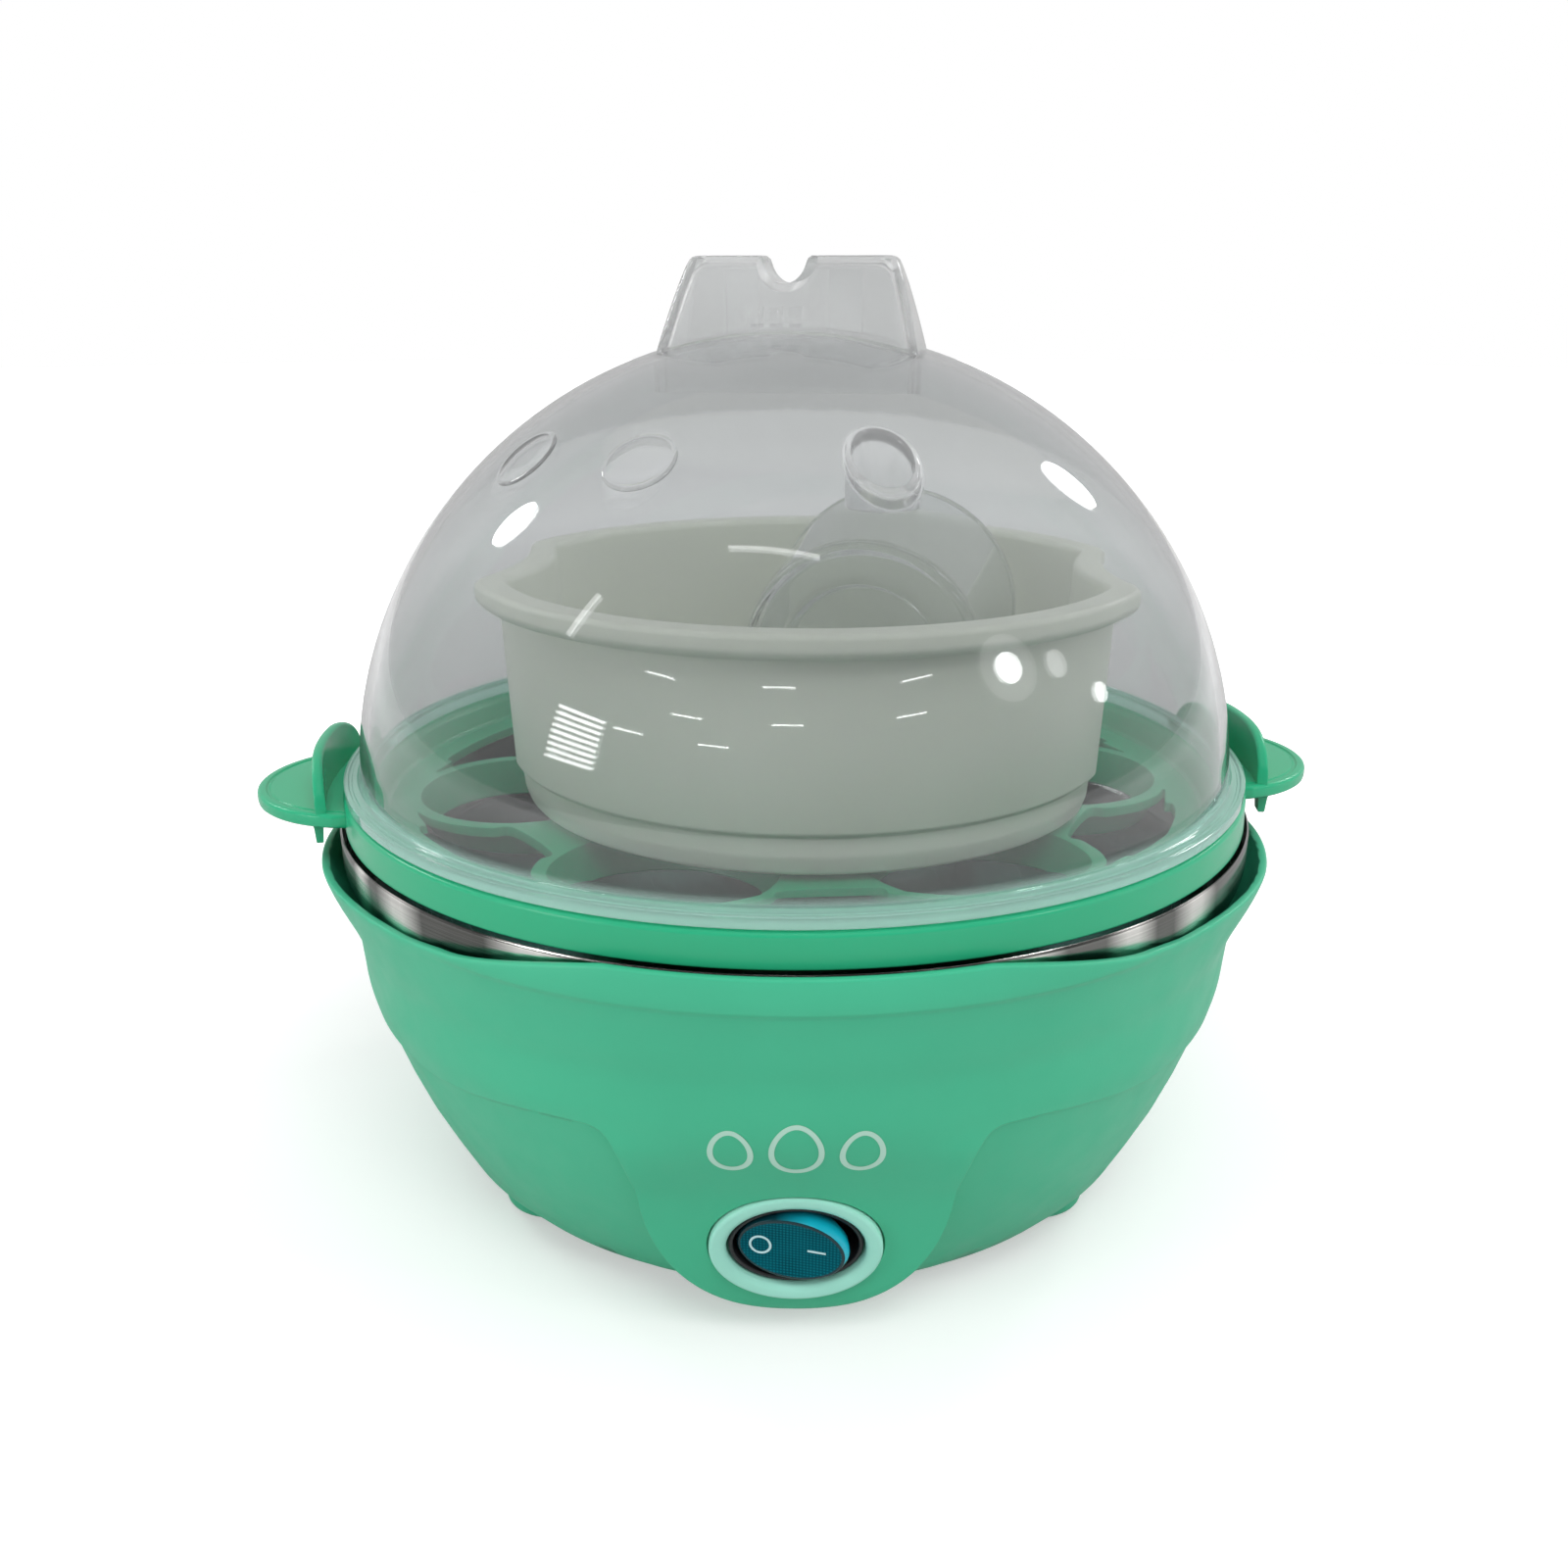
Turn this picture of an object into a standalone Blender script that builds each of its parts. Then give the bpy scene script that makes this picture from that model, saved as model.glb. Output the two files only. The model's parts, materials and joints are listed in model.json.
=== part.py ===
"""Egg cooker with a clear dome lid, an egg tray, a steaming bowl and a measuring cup.

Units: the constants are millimetres and every mesh is scaled to metres as it is made.
Frame: +Z up, the feet stand on z = 0, the switch faces -Y, the tray's lifting tabs lie along X.
"""

import math

import bmesh
import bpy
from mathutils import Matrix, Vector

MM = 0.001

# ---- housing ---------------------------------------------------------------
WALL = 2.3
BASE_Z = 4.6
RIM_FRONT = 70.2
RIM_SIDE = 64.6
RIM_DIP = 1.3
COLLAR_LINE = 64.2
COLLAR_STEP = 0.7
EAR_FLARE = 2.1
STEP_GAP = 0.25
UPPER_WALL = ((37.0, 79.5), (42.0, 80.7), (47.0, 81.2), (51.5, 81.7), (54.0, 82.4),
              (57.5, 83.2), (61.0, 84.0), (64.2, 84.9), (71.0, 84.9))
LOWER_WALL = ((4.0, 62.8), (7.0, 65.6), (13.0, 68.9), (19.0, 72.0), (28.0, 75.7), (41.0, 80.0))
APRON_FACE = ((4.0, 70.0), (7.0, 71.3), (12.0, 72.3), (18.0, 73.1), (23.0, 73.9),
              (28.0, 75.0), (33.0, 76.9), (38.0, 79.3), (43.0, 80.9))
APRON_ANGLE = 18.6
APRON_TOP = 28.0
APRON_DEPTH = 23.1
APRON_POWER = 2.3
SHOULDER_ANGLE = 24.5
SHOULDER_Z = 40.8
STEP_Z = 37.5
LEDGE_Z = 54.0
LEDGE_R = 76.8

# ---- switch ----------------------------------------------------------------
SWITCH_Y = -73.1
SWITCH_Z = 18.6
SWITCH_LEAN = 8.0
BEZEL_HALF = (13.6, 10.3)
MOUTH_HALF = (10.9, 7.7)
FRAME_HALF = (10.6, 7.4)
WELL_HALF = (9.9, 6.7)
ROCKER_HALF = (9.1, 6.1)
ROCKER_REST = 12.0
PIVOT_DEPTH = -3.0

# ---- base and feet ---------------------------------------------------------
COVER_R = 60.0
FOOT_R = 54.0
FOOT_ANGLES = (36.0, 144.0, 216.0, 324.0)
BOSS_R = 56.0
BOSS_ANGLES = (62.0, 118.0, 242.0, 298.0)

# ---- cord inlet ------------------------------------------------------------
GLAND_Z = 19.0
GLAND_BORE = 3.0

# ---- heating plate ---------------------------------------------------------
PLATE_T = 0.9
PLATE_PATH = ((83.0, 69.3), (82.5, 66.5), (81.4, 62.4), (79.9, 58.0), (78.6, 55.3),
              (76.4, 54.8), (73.6, 54.7), (70.6, 53.0), (67.0, 51.3), (60.0, 50.5),
              (42.0, 50.5), (22.0, 50.8))
HEATER_R = 38.0
HEATER_Z = 46.4

# ---- egg tray --------------------------------------------------------------
TRAY_TURN = 5.5
TRAY_R = 82.3
TRAY_TOP = 75.7
DECK_TOP = 71.0
DECK_BOTTOM = 69.2
EGG_CIRCLE = 51.0
EGG_MOUTH = 18.6
EGG_SEAT = 16.4
EGG_SEAT_Z = 64.5
TAB_TIP = 98.7
TAB_HALF = 21.0
TAB_ROOT = 78.0

# ---- lid -------------------------------------------------------------------
LID_Z = 76.0
LID_BASE = 78.0
FLANGE_R = 82.0
DOME_R = 79.1
DOME_RISE = 75.5
DOME_POWER = 1.9
DOME_WALL = 1.6
VENT_AT = (12.7, -47.4)
VENT_R = 5.6
VENT_BORE = 4.5
VENT_LOW = 129.0
HANDLE_TURN = -9.0
HANDLE_TOP = 165.4

# ---- steaming bowl and measuring cup ---------------------------------------
BOWL_AT = (2.8, 0.0)
BOWL_TURN = -4.0
BOWL_FLOOR = 71.3
BOWL_RIM = 112.7
BOWL_LIP_R = 60.2
NOTCH_DEPTH = 6.9
NOTCH_ANGLE = 20.5
CUP_BASE = (12.0, -7.0)
CUP_MOUTH = (21.6, 35.0)
CUP_BASE_R = 22.0
CUP_MOUTH_R = 24.6
CUP_WALL = 1.4

MINT = (0.10, 0.47, 0.27)
PALE_MINT = (0.24, 0.60, 0.42)


# ---- small helpers ---------------------------------------------------------

def clear_scene():
    for obj in list(bpy.data.objects):
        bpy.data.objects.remove(obj, do_unlink=True)


def material(name, colour, roughness, metallic=0.0, alpha=1.0):
    mat = bpy.data.materials.new(name)
    mat.use_nodes = True
    shader = mat.node_tree.nodes["Principled BSDF"]
    shader.inputs["Base Color"].default_value = (*colour, 1.0)
    shader.inputs["Roughness"].default_value = roughness
    shader.inputs["Metallic"].default_value = metallic
    shader.inputs["Alpha"].default_value = alpha
    mat.diffuse_color = (*colour, alpha)
    return mat


def clamp(value, low=0.0, high=1.0):
    return max(low, min(high, value))


def smooth(t):
    t = clamp(t)
    return t * t * (3.0 - 2.0 * t)


def table(points, at):
    """Linear interpolation in a short (height, radius) table."""
    if at <= points[0][0]:
        return points[0][1]
    for (z0, r0), (z1, r1) in zip(points, points[1:]):
        if at <= z1:
            return r0 + (r1 - r0) * (at - z0) / (z1 - z0)
    return points[-1][1]


def circle(radius, z, segments, centre=(0.0, 0.0)):
    """Points of a level circle, or its centre alone when the radius is nothing."""
    if radius < 1e-6:
        return [Vector((centre[0], centre[1], z))]
    points = []
    for i in range(segments):
        a = math.tau * i / segments
        points.append(Vector((centre[0] + radius * math.cos(a),
                              centre[1] + radius * math.sin(a), z)))
    return points


def oval(half_width, half_height, depth, segments=24, power=2.2):
    """Points of a rounded oval in the plane z = depth."""
    points = []
    for i in range(segments):
        a = math.tau * i / segments
        c = math.cos(a)
        s = math.sin(a)
        x = half_width * math.copysign(abs(c) ** (2.0 / power), c)
        y = half_height * math.copysign(abs(s) ** (2.0 / power), s)
        points.append(Vector((x, y, depth)))
    return points


def box_loop(x0, x1, y0, y1, z):
    return [Vector((x0, y0, z)), Vector((x1, y0, z)), Vector((x1, y1, z)), Vector((x0, y1, z))]


def bridge(bm, first, second):
    """Faces between two loops of vertices, either of which may be a single point."""
    count = max(len(first), len(second))
    for i in range(count):
        j = (i + 1) % count
        if len(first) == 1:
            bm.faces.new((first[0], second[j], second[i]))
        elif len(second) == 1:
            bm.faces.new((first[i], first[j], second[0]))
        else:
            bm.faces.new((first[i], first[j], second[j], second[i]))


def loft(bm, rows, ring=False):
    """Skins rows of points: capped at both ends, or joined end to end as a ring."""
    loops = [[bm.verts.new(p) for p in row] for row in rows]
    for first, second in zip(loops, loops[1:]):
        bridge(bm, first, second)
    if ring:
        bridge(bm, loops[-1], loops[0])
    else:
        if len(loops[0]) > 1:
            bm.faces.new(list(reversed(loops[0])))
        if len(loops[-1]) > 1:
            bm.faces.new(loops[-1])
    return loops


def turned(bm, profile, segments, centre=(0.0, 0.0), ring=False):
    """A lathe-turned shape from (radius, height) points."""
    return loft(bm, [circle(r, z, segments, centre) for r, z in profile], ring)


def offset_path(path, thickness):
    """The closed (radius, height) outline of a sheet that follows an open path."""
    upper = []
    lower = []
    for i, (r, z) in enumerate(path):
        r0, z0 = path[max(i - 1, 0)]
        r1, z1 = path[min(i + 1, len(path) - 1)]
        length = math.hypot(r1 - r0, z1 - z0)
        nr = -(z1 - z0) / length * thickness / 2
        nz = (r1 - r0) / length * thickness / 2
        upper.append((r + nr, z + nz))
        lower.append((r - nr, z - nz))
    return upper + lower[::-1]


def tube(bm, path, radius, sides=8):
    """A round tube along a path of points, with flat ends."""
    rows = []
    normal = None
    for i, p in enumerate(path):
        ahead = (path[min(i + 1, len(path) - 1)] - path[max(i - 1, 0)]).normalized()
        if normal is None:
            normal = ahead.orthogonal().normalized()
        normal = (normal - ahead * normal.dot(ahead)).normalized()
        side = ahead.cross(normal)
        row = []
        for k in range(sides):
            a = math.tau * k / sides
            row.append(p + (normal * math.cos(a) + side * math.sin(a)) * radius)
        rows.append(row)
    loft(bm, rows)


def curve_points(points, steps=6):
    """Smooth path through the given points (Catmull-Rom)."""
    pts = [Vector(p) for p in points]
    pts = [pts[0] * 2 - pts[1]] + pts + [pts[-1] * 2 - pts[-2]]
    path = []
    for a, b, c, d in zip(pts, pts[1:], pts[2:], pts[3:]):
        for k in range(steps):
            t = k / steps
            path.append(0.5 * ((2 * b) + (c - a) * t + (2 * a - 5 * b + 4 * c - d) * t * t
                               + (3 * b - a - 3 * c + d) * t ** 3))
    path.append(pts[-2])
    return path


def add(name, bm, mat, place=None, sharp=35.0, origin=(0.0, 0.0, 0.0)):
    """Turns a bmesh in millimetres into a scene object in metres."""
    if place is not None:
        bmesh.ops.transform(bm, matrix=place, verts=bm.verts)
    shift = Vector(origin)
    for vert in bm.verts:
        vert.co = (vert.co - shift) * MM
    bmesh.ops.recalc_face_normals(bm, faces=bm.faces)
    for face in bm.faces:
        face.smooth = True
    for edge in bm.edges:
        if len(edge.link_faces) == 2 and edge.calc_face_angle(0.0) > math.radians(sharp):
            edge.smooth = False
    mesh = bpy.data.meshes.new(name)
    bm.to_mesh(mesh)
    bm.free()
    obj = bpy.data.objects.new(name, mesh)
    obj.location = shift * MM
    if mat is not None:
        mesh.materials.append(mat)
    bpy.context.scene.collection.objects.link(obj)
    return obj


def tool(name, bm, place=None):
    """A helper body for a Boolean: it is never rendered."""
    obj = add(name, bm, None, place)
    obj.hide_render = True
    obj.display_type = "WIRE"
    return obj


def boolean(target, operand, operation):
    mod = target.modifiers.new(operation.title() + "_" + operand.name, "BOOLEAN")
    mod.operation = operation
    mod.solver = "EXACT"
    mod.object = operand


# ---- housing ---------------------------------------------------------------

def housing_angles():
    """Column angles from the front, close together where the apron's edge runs steeply."""
    half = [3.5, 7.0, 10.0, 12.5, 14.5, 16.0, 17.1, 17.9, 18.4, 18.8, 19.3, 20.2, 22.0, 24.5,
            28.0, 32.0, 36.5, 41.5, 48.0, 56.0, 65.0, 74.0, 82.0, 90.0, 98.0, 106.0, 115.0,
            124.0, 132.0, 139.0, 146.0, 153.0, 160.0, 170.0]
    return [0.0] + half + [180.0] + [-a for a in reversed(half)]


def side_angle(angle):
    """Angle from the nearest of front and back: 90 at the ears."""
    a = abs(angle)
    return min(a, 180.0 - a)


def ear_amount(angle):
    t = side_angle(angle)
    return smooth((t - 44.0) / 30.0) + 0.12 * clamp((t - 74.0) / 16.0)


def rim_height(angle):
    t = side_angle(angle)
    drop = smooth((t - 20.0) / 22.0)
    dip = RIM_DIP * clamp((t - 45.0) / 45.0) ** 2
    return RIM_FRONT + (RIM_SIDE - RIM_FRONT) * drop - dip


def apron_edge(angle):
    """Height of the step line that runs round the housing and down round the apron."""
    a = abs(angle)
    if a <= APRON_ANGLE:
        across = math.sin(math.radians(a)) / math.sin(math.radians(APRON_ANGLE))
        return APRON_TOP - APRON_DEPTH * (1.0 - across ** APRON_POWER) ** (1.0 / APRON_POWER)
    if a <= SHOULDER_ANGLE:
        t = (a - APRON_ANGLE) / (SHOULDER_ANGLE - APRON_ANGLE)
        return APRON_TOP + (SHOULDER_Z - APRON_TOP) * (1.0 - (1.0 - t) ** 4)
    return SHOULDER_Z + (STEP_Z - SHOULDER_Z) * smooth((a - SHOULDER_ANGLE) / 25.0)


def upper_radius(angle, z):
    """Outer radius of the upper wall and of the apron that hangs from it."""
    wall = table(UPPER_WALL, z) + EAR_FLARE * ear_amount(angle) * smooth((z - 53.0) / 9.0)
    if z >= 43.0 or abs(angle) > 30.0:
        return wall
    across = min(1.0, abs(angle) / APRON_ANGLE)
    face = table(APRON_FACE, z) * (1.0 + 0.026 * across * across * clamp((43.0 - z) / 10.0))
    blend = smooth((abs(angle) - 20.0) / 8.0)
    return face + (wall - face) * blend


def inner_radius(angle, z):
    """Inside of the lower part: the plain wall, or the apron's own pocket."""
    plain = table(LOWER_WALL, z) - WALL
    across = math.sin(math.radians(min(abs(angle), 90.0))) * table(APRON_FACE, z)
    half = math.sin(math.radians(APRON_ANGLE)) * 73.6
    reach = max(0.0, 1.0 - ((APRON_TOP - min(z, APRON_TOP)) / APRON_DEPTH) ** 2)
    if z > 9.0 and across < half * math.sqrt(reach) - WALL:
        return max(plain, upper_radius(angle, z) - WALL)
    if z >= apron_edge(angle):
        return upper_radius(angle, z) - WALL
    return plain


def housing_column(angle):
    """(radius, height) points of the wall's section, from the base up and back down inside."""
    edge = apron_edge(angle)
    rim = rim_height(angle)
    outer = [(table(LOWER_WALL, BASE_Z) - 0.5, BASE_Z)]
    for k in range(1, 5):
        z = BASE_Z + 0.2 + (edge - BASE_Z - 0.2) * k / 4.0
        outer.append((table(LOWER_WALL, z), z))
    for k in range(5):
        z = edge + STEP_GAP + (43.0 - edge - STEP_GAP) * k / 4.0
        outer.append((upper_radius(angle, z), z))
    for z in (51.5, 54.5, 58.0, 61.2):
        outer.append((upper_radius(angle, z), z))
    collar = COLLAR_STEP * (1.0 - smooth((side_angle(angle) - 36.0) / 8.0))
    line = min(COLLAR_LINE, rim - 0.9)
    outer.append((upper_radius(angle, line), line))
    outer.append((upper_radius(angle, line + 0.4) + collar, line + 0.4))
    lip = upper_radius(angle, rim) + collar
    outer.append((lip, rim - 0.3))
    inner = [(lip - 0.3, rim), (lip - 1.2, rim)]
    for z, wall in ((61.0, 1.6), (57.5, 1.8), (54.4, 2.0)):
        inner.append((upper_radius(angle, z) - wall, z))
    inner += [(LEDGE_R, LEDGE_Z), (LEDGE_R, LEDGE_Z - 2.0), (upper_radius(angle, 50.0) - WALL, 50.0)]
    for z in (43.0, 35.0, 28.0, 19.0, 12.0):
        inner.append((inner_radius(angle, z), z))
    inner += [(table(LOWER_WALL, 7.4) - WALL, 7.4), (COVER_R + 0.7, BASE_Z)]
    return outer + inner


def housing(mint):
    columns = []
    for angle in housing_angles():
        a = math.radians(angle)
        columns.append([Vector((r * math.sin(a), -r * math.cos(a), z))
                        for r, z in housing_column(angle)])
    bm = bmesh.new()
    loft(bm, list(map(list, zip(*columns))), ring=True)
    body = add("housing", bm, mint)
    boolean(body, boss_tool(), "UNION")
    boolean(body, housing_cuts(), "DIFFERENCE")
    return body


def boss_tool():
    """Four wedge-shaped screw bosses that grow out of the wall above the cover."""
    bm = bmesh.new()
    for angle in BOSS_ANGLES:
        turn = Matrix.Rotation(math.radians(angle), 4, "Z")
        rows = [box_loop(52.4, 64.4, -3.6, 3.6, 7.7), box_loop(52.4, 70.6, -3.6, 3.6, 20.0)]
        loft(bm, [[turn @ p for p in row] for row in rows])
    return tool("boss_union", bm)


def housing_cuts():
    """The switch's hole and seat, the cord's hole and the four screw holes."""
    bm = bmesh.new()
    place = switch_place()
    seat = [oval(BEZEL_HALF[0] + 0.3, BEZEL_HALF[1] + 0.3, d) for d in (-1.5, 6.0)]
    hole = oval(FRAME_HALF[0] + 0.3, FRAME_HALF[1] + 0.3, -1.5)
    deep = oval(FRAME_HALF[0] + 0.3, FRAME_HALF[1] + 0.3, -12.0)
    rows = [deep, hole, seat[0], seat[1]]
    loft(bm, [[place @ p for p in row] for row in rows])
    back = gland_place()
    loft(bm, [[back @ p for p in circle(5.5, z, 16)] for z in (60.0, 80.0)])
    for angle in BOSS_ANGLES:
        a = math.radians(angle)
        spot = (BOSS_R * math.cos(a), BOSS_R * math.sin(a))
        turned(bm, ((1.5, 6.0), (1.5, 17.0)), 10, spot)
    return tool("housing_cuts", bm)


# ---- base ------------------------------------------------------------------

def polar(radius, degrees):
    a = math.radians(degrees)
    return radius * math.cos(a), radius * math.sin(a)


def base_cover(mint):
    bm = bmesh.new()
    profile = ((0.0, 5.6), (40.0, 5.6), (42.0, 4.9), (COVER_R - 0.3, 4.9), (COVER_R, 5.2),
               (COVER_R, 7.2), (43.0, 7.2), (41.0, 7.7), (0.0, 7.7))
    turned(bm, profile, 36)
    cover = add("base_cover", bm, mint)
    feet = bmesh.new()
    for angle in FOOT_ANGLES:
        spot = polar(FOOT_R, angle)
        turned(feet, ((7.6, 1.0), (8.9, 1.9), (9.3, 4.1), (4.3, 4.3), (4.3, 6.0)), 16, spot)
    boolean(cover, tool("foot_union", feet), "UNION")
    cuts = bmesh.new()
    for angle in FOOT_ANGLES:
        turned(cuts, ((4.6, 0.5), (4.6, 2.6)), 12, polar(FOOT_R, angle))
    for angle in BOSS_ANGLES:
        spot = polar(BOSS_R, angle)
        turned(cuts, ((3.3, 4.0), (3.3, 5.6), (1.8, 5.6), (1.8, 8.5)), 8, spot)
    for k in range(-2, 3):
        loft(cuts, [box_loop(-14.0, 14.0, k * 6.0 - 1.0, k * 6.0 + 1.0, z) for z in (4.0, 9.0)])
    boolean(cover, tool("cover_cuts", cuts), "DIFFERENCE")


def foot_pads(rubber):
    for i, angle in enumerate(FOOT_ANGLES):
        bm = bmesh.new()
        turned(bm, ((3.6, 0.0), (4.2, 0.5), (4.2, 2.3)), 12, polar(FOOT_R, angle))
        add(f"foot_pad_{i + 1}", bm, rubber)


def screw(name, spot, z0, z1, head_r, shank_r, steel, up=True):
    """Pan-head screw: head at z0, tip at z1, with a cross recess left as a shallow dimple."""
    bm = bmesh.new()
    sign = 1.0 if up else -1.0
    head = 1.6 * sign
    profile = ((0.0, z0 + 0.5 * sign), (head_r * 0.35, z0 + 0.5 * sign), (head_r * 0.5, z0),
               (head_r * 0.8, z0), (head_r, z0 + 0.6 * sign), (head_r, z0 + head),
               (shank_r, z0 + head), (shank_r, z1 - 0.8 * sign), (0.0, z1))
    turned(bm, profile, 8, spot)
    add(name, bm, steel)


# ---- heating ---------------------------------------------------------------

def heating_plate(steel):
    """The steel water pan: a conical wall, a seat and a shallow floor."""
    sheet = offset_path(PLATE_PATH, PLATE_T)
    half = len(sheet) // 2
    low_path = sheet[:half]
    high_path = sheet[half:]
    rim_r, rim_z = PLATE_PATH[0]
    profile = [(0.0, low_path[-1][1])] + low_path[::-1]
    profile += [(rim_r + 0.1, rim_z + 0.5)]
    profile += high_path[::-1] + [(0.0, high_path[0][1])]
    bm = bmesh.new()
    turned(bm, profile, 44)
    add("heating_plate", bm, steel)


def heater_element(aluminium):
    """Sheathed ring heater with its two ends turned down side by side at the back."""
    bm = bmesh.new()
    path = [Vector((6.0, HEATER_R - 1.0, HEATER_Z - 9.0)), Vector((6.3, HEATER_R - 0.8, HEATER_Z - 3.0))]
    for k in range(25):
        a = math.radians(79.0 - 338.0 * k / 24.0)
        path.append(Vector((HEATER_R * math.cos(a), HEATER_R * math.sin(a), HEATER_Z)))
    path += [Vector((-6.3, HEATER_R - 0.8, HEATER_Z - 3.0)), Vector((-6.0, HEATER_R - 1.0, HEATER_Z - 9.0))]
    tube(bm, path, 3.1, 6)
    add("heater_element", bm, aluminium)


def heater_clamp(steel):
    bm = bmesh.new()
    rows = [box_loop(-44.0, 44.0, -7.0, 7.0, z) for z in (41.4, 42.8)]
    loft(bm, rows)
    clamp_bar = add("heater_clamp", bm, steel)
    cuts = bmesh.new()
    for x in (-22.0, 22.0):
        turned(cuts, ((2.0, 40.0), (2.0, 44.0)), 12, (x, 0.0))
    boolean(clamp_bar, tool("clamp_cuts", cuts), "DIFFERENCE")
    for i, x in enumerate((-22.0, 22.0)):
        screw(f"clamp_screw_{i + 1}", (x, 0.0), 39.5, 49.6, 3.2, 1.7, steel)


def heat_shield(steel):
    bm = bmesh.new()
    profile = ((31.0, 36.0), (56.0, 36.0), (58.0, 38.0), (58.0, 43.0), (57.3, 43.0),
               (57.3, 38.3), (55.7, 36.7), (31.0, 36.7))
    turned(bm, profile, 28, ring=True)
    add("heat_shield", bm, steel)


def sensors(ceramic, steel):
    bm = bmesh.new()
    turned(bm, ((0.0, 43.2), (8.0, 43.2), (8.0, 47.0), (7.0, 47.0), (7.0, 49.6), (0.0, 49.6)), 20)
    add("thermostat", bm, ceramic)
    bm = bmesh.new()
    place = Matrix.Translation((0.0, -20.0, 46.0)) @ Matrix.Rotation(math.radians(90), 4, "Y")
    turned(bm, ((0.0, -9.0), (0.7, -9.0), (0.7, -5.0), (2.0, -4.6), (2.0, 4.6), (0.7, 5.0),
                (0.7, 9.0), (0.0, 9.0)), 10)
    add("thermal_fuse", bm, steel, place)


# ---- switch ----------------------------------------------------------------

def switch_place():
    """Local frame of the switch: x across, y up the apron's face, z out of it."""
    lean = math.radians(SWITCH_LEAN)
    across = Vector((1.0, 0.0, 0.0))
    out = Vector((0.0, -math.cos(lean), -math.sin(lean)))
    up = out.cross(across)
    turn = Matrix((across, up, out)).transposed().to_4x4()
    return Matrix.Translation((0.0, SWITCH_Y, SWITCH_Z)) @ turn


def switch_bezel(pale):
    bm = bmesh.new()
    a, b = BEZEL_HALF
    c, d = MOUTH_HALF
    rows = [oval(a, b, -1.2), oval(a, b, 0.4), oval(a - 0.7, b - 0.7, 0.9),
            oval(c + 0.7, d + 0.7, 0.7), oval(c, d, 0.1), oval(c, d, -1.2)]
    loft(bm, rows, ring=True)
    add("switch_bezel", bm, pale, switch_place())


def switch_body(black):
    """The switch's frame and well, with the contact block behind it."""
    bm = bmesh.new()
    a, b = FRAME_HALF
    c, d = WELL_HALF
    rows = [oval(7.5, 4.6, -19.0), oval(7.5, 4.6, -11.0), oval(a, b, -11.0), oval(a, b, -0.6),
            oval(a - 0.3, b - 0.3, -0.3), oval(c, d, -0.4), oval(c, d, -9.2)]
    loft(bm, rows)
    add("switch_body", bm, black, switch_place())


def rocker(teal):
    """Rocker at rest with its left half pressed in, turning on an upright axis."""
    bm = bmesh.new()
    a, b = ROCKER_HALF
    rows = [oval(a - 3.2, b - 0.6, -2.0), oval(a - 0.5, b - 0.2, 0.6), oval(a, b, 3.4),
            oval(a - 0.4, b - 0.4, 3.9)]
    rows.append([Vector((0.0, 0.0, 3.5))])
    loft(bm, rows)
    rest = Matrix.Translation((0.0, 0.0, PIVOT_DEPTH))
    rest = rest @ Matrix.Rotation(math.radians(-ROCKER_REST), 4, "Y")
    pivot = switch_place() @ Vector((0.0, 0.0, PIVOT_DEPTH))
    add("rocker", bm, teal, switch_place() @ rest, origin=pivot)


def terminals(brass):
    for i, x in enumerate((-5.0, 0.0, 5.0)):
        bm = bmesh.new()
        rows = [box_loop(x - 0.4, x + 0.4, -2.2, 2.2, z) for z in (-27.0, -19.3)]
        loft(bm, rows)
        add(f"switch_terminal_{i + 1}", bm, brass, switch_place())


def indicator_lamp(clear):
    """Small neon lamp that lights the rocker from behind, in the bottom of the well."""
    bm = bmesh.new()
    turned(bm, ((0.0, -8.9), (1.5, -8.9), (1.5, -7.6), (0.9, -7.0), (0.0, -6.8)), 10, (0.0, 3.8))
    add("indicator_lamp", bm, clear, switch_place())


# ---- mains parts inside ----------------------------------------------------

def gland_place():
    """Local frame of the cord's inlet: its z runs level, out through the back wall."""
    return Matrix.Translation((0.0, 0.0, GLAND_Z)) @ Matrix.Rotation(math.radians(-90.0), 4, "X")


def block(name, mat, x, y, z):
    bm = bmesh.new()
    loft(bm, [box_loop(x[0], x[1], y[0], y[1], h) for h in z])
    return add(name, bm, mat)


def cord_inlet(black, steel, brass, ceramic):
    """The cord's gland in the back wall, its clamp and the terminal block."""
    bm = bmesh.new()
    profile = ((GLAND_BORE, 62.0), (5.1, 62.0), (5.1, 75.3), (6.8, 75.5), (6.6, 77.2),
               (4.9, 77.8), (4.4, 84.2), (GLAND_BORE, 84.2))
    turned(bm, profile, 16, ring=True)
    add("cord_gland", bm, black, gland_place())
    clamp_bar = block("cord_clamp", black, (-9.0, 9.0), (50.0, 57.0), (13.0, 16.0))
    cuts = bmesh.new()
    for x in (-6.5, 6.5):
        turned(cuts, ((1.6, 12.0), (1.6, 17.0)), 10, (x, 53.5))
    boolean(clamp_bar, tool("cord_clamp_cuts", cuts), "DIFFERENCE")
    for i, x in enumerate((-6.5, 6.5)):
        screw(f"cord_clamp_screw_{i + 1}", (x, 53.5), 18.0, 9.5, 2.6, 1.3, steel, up=False)
    block("terminal_block", ceramic, (-13.0, 13.0), (24.0, 36.0), (8.4, 19.0))
    block("earth_tag", brass, (-2.5, 2.5), (6.0, 18.0), (33.6, 34.4))


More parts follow.
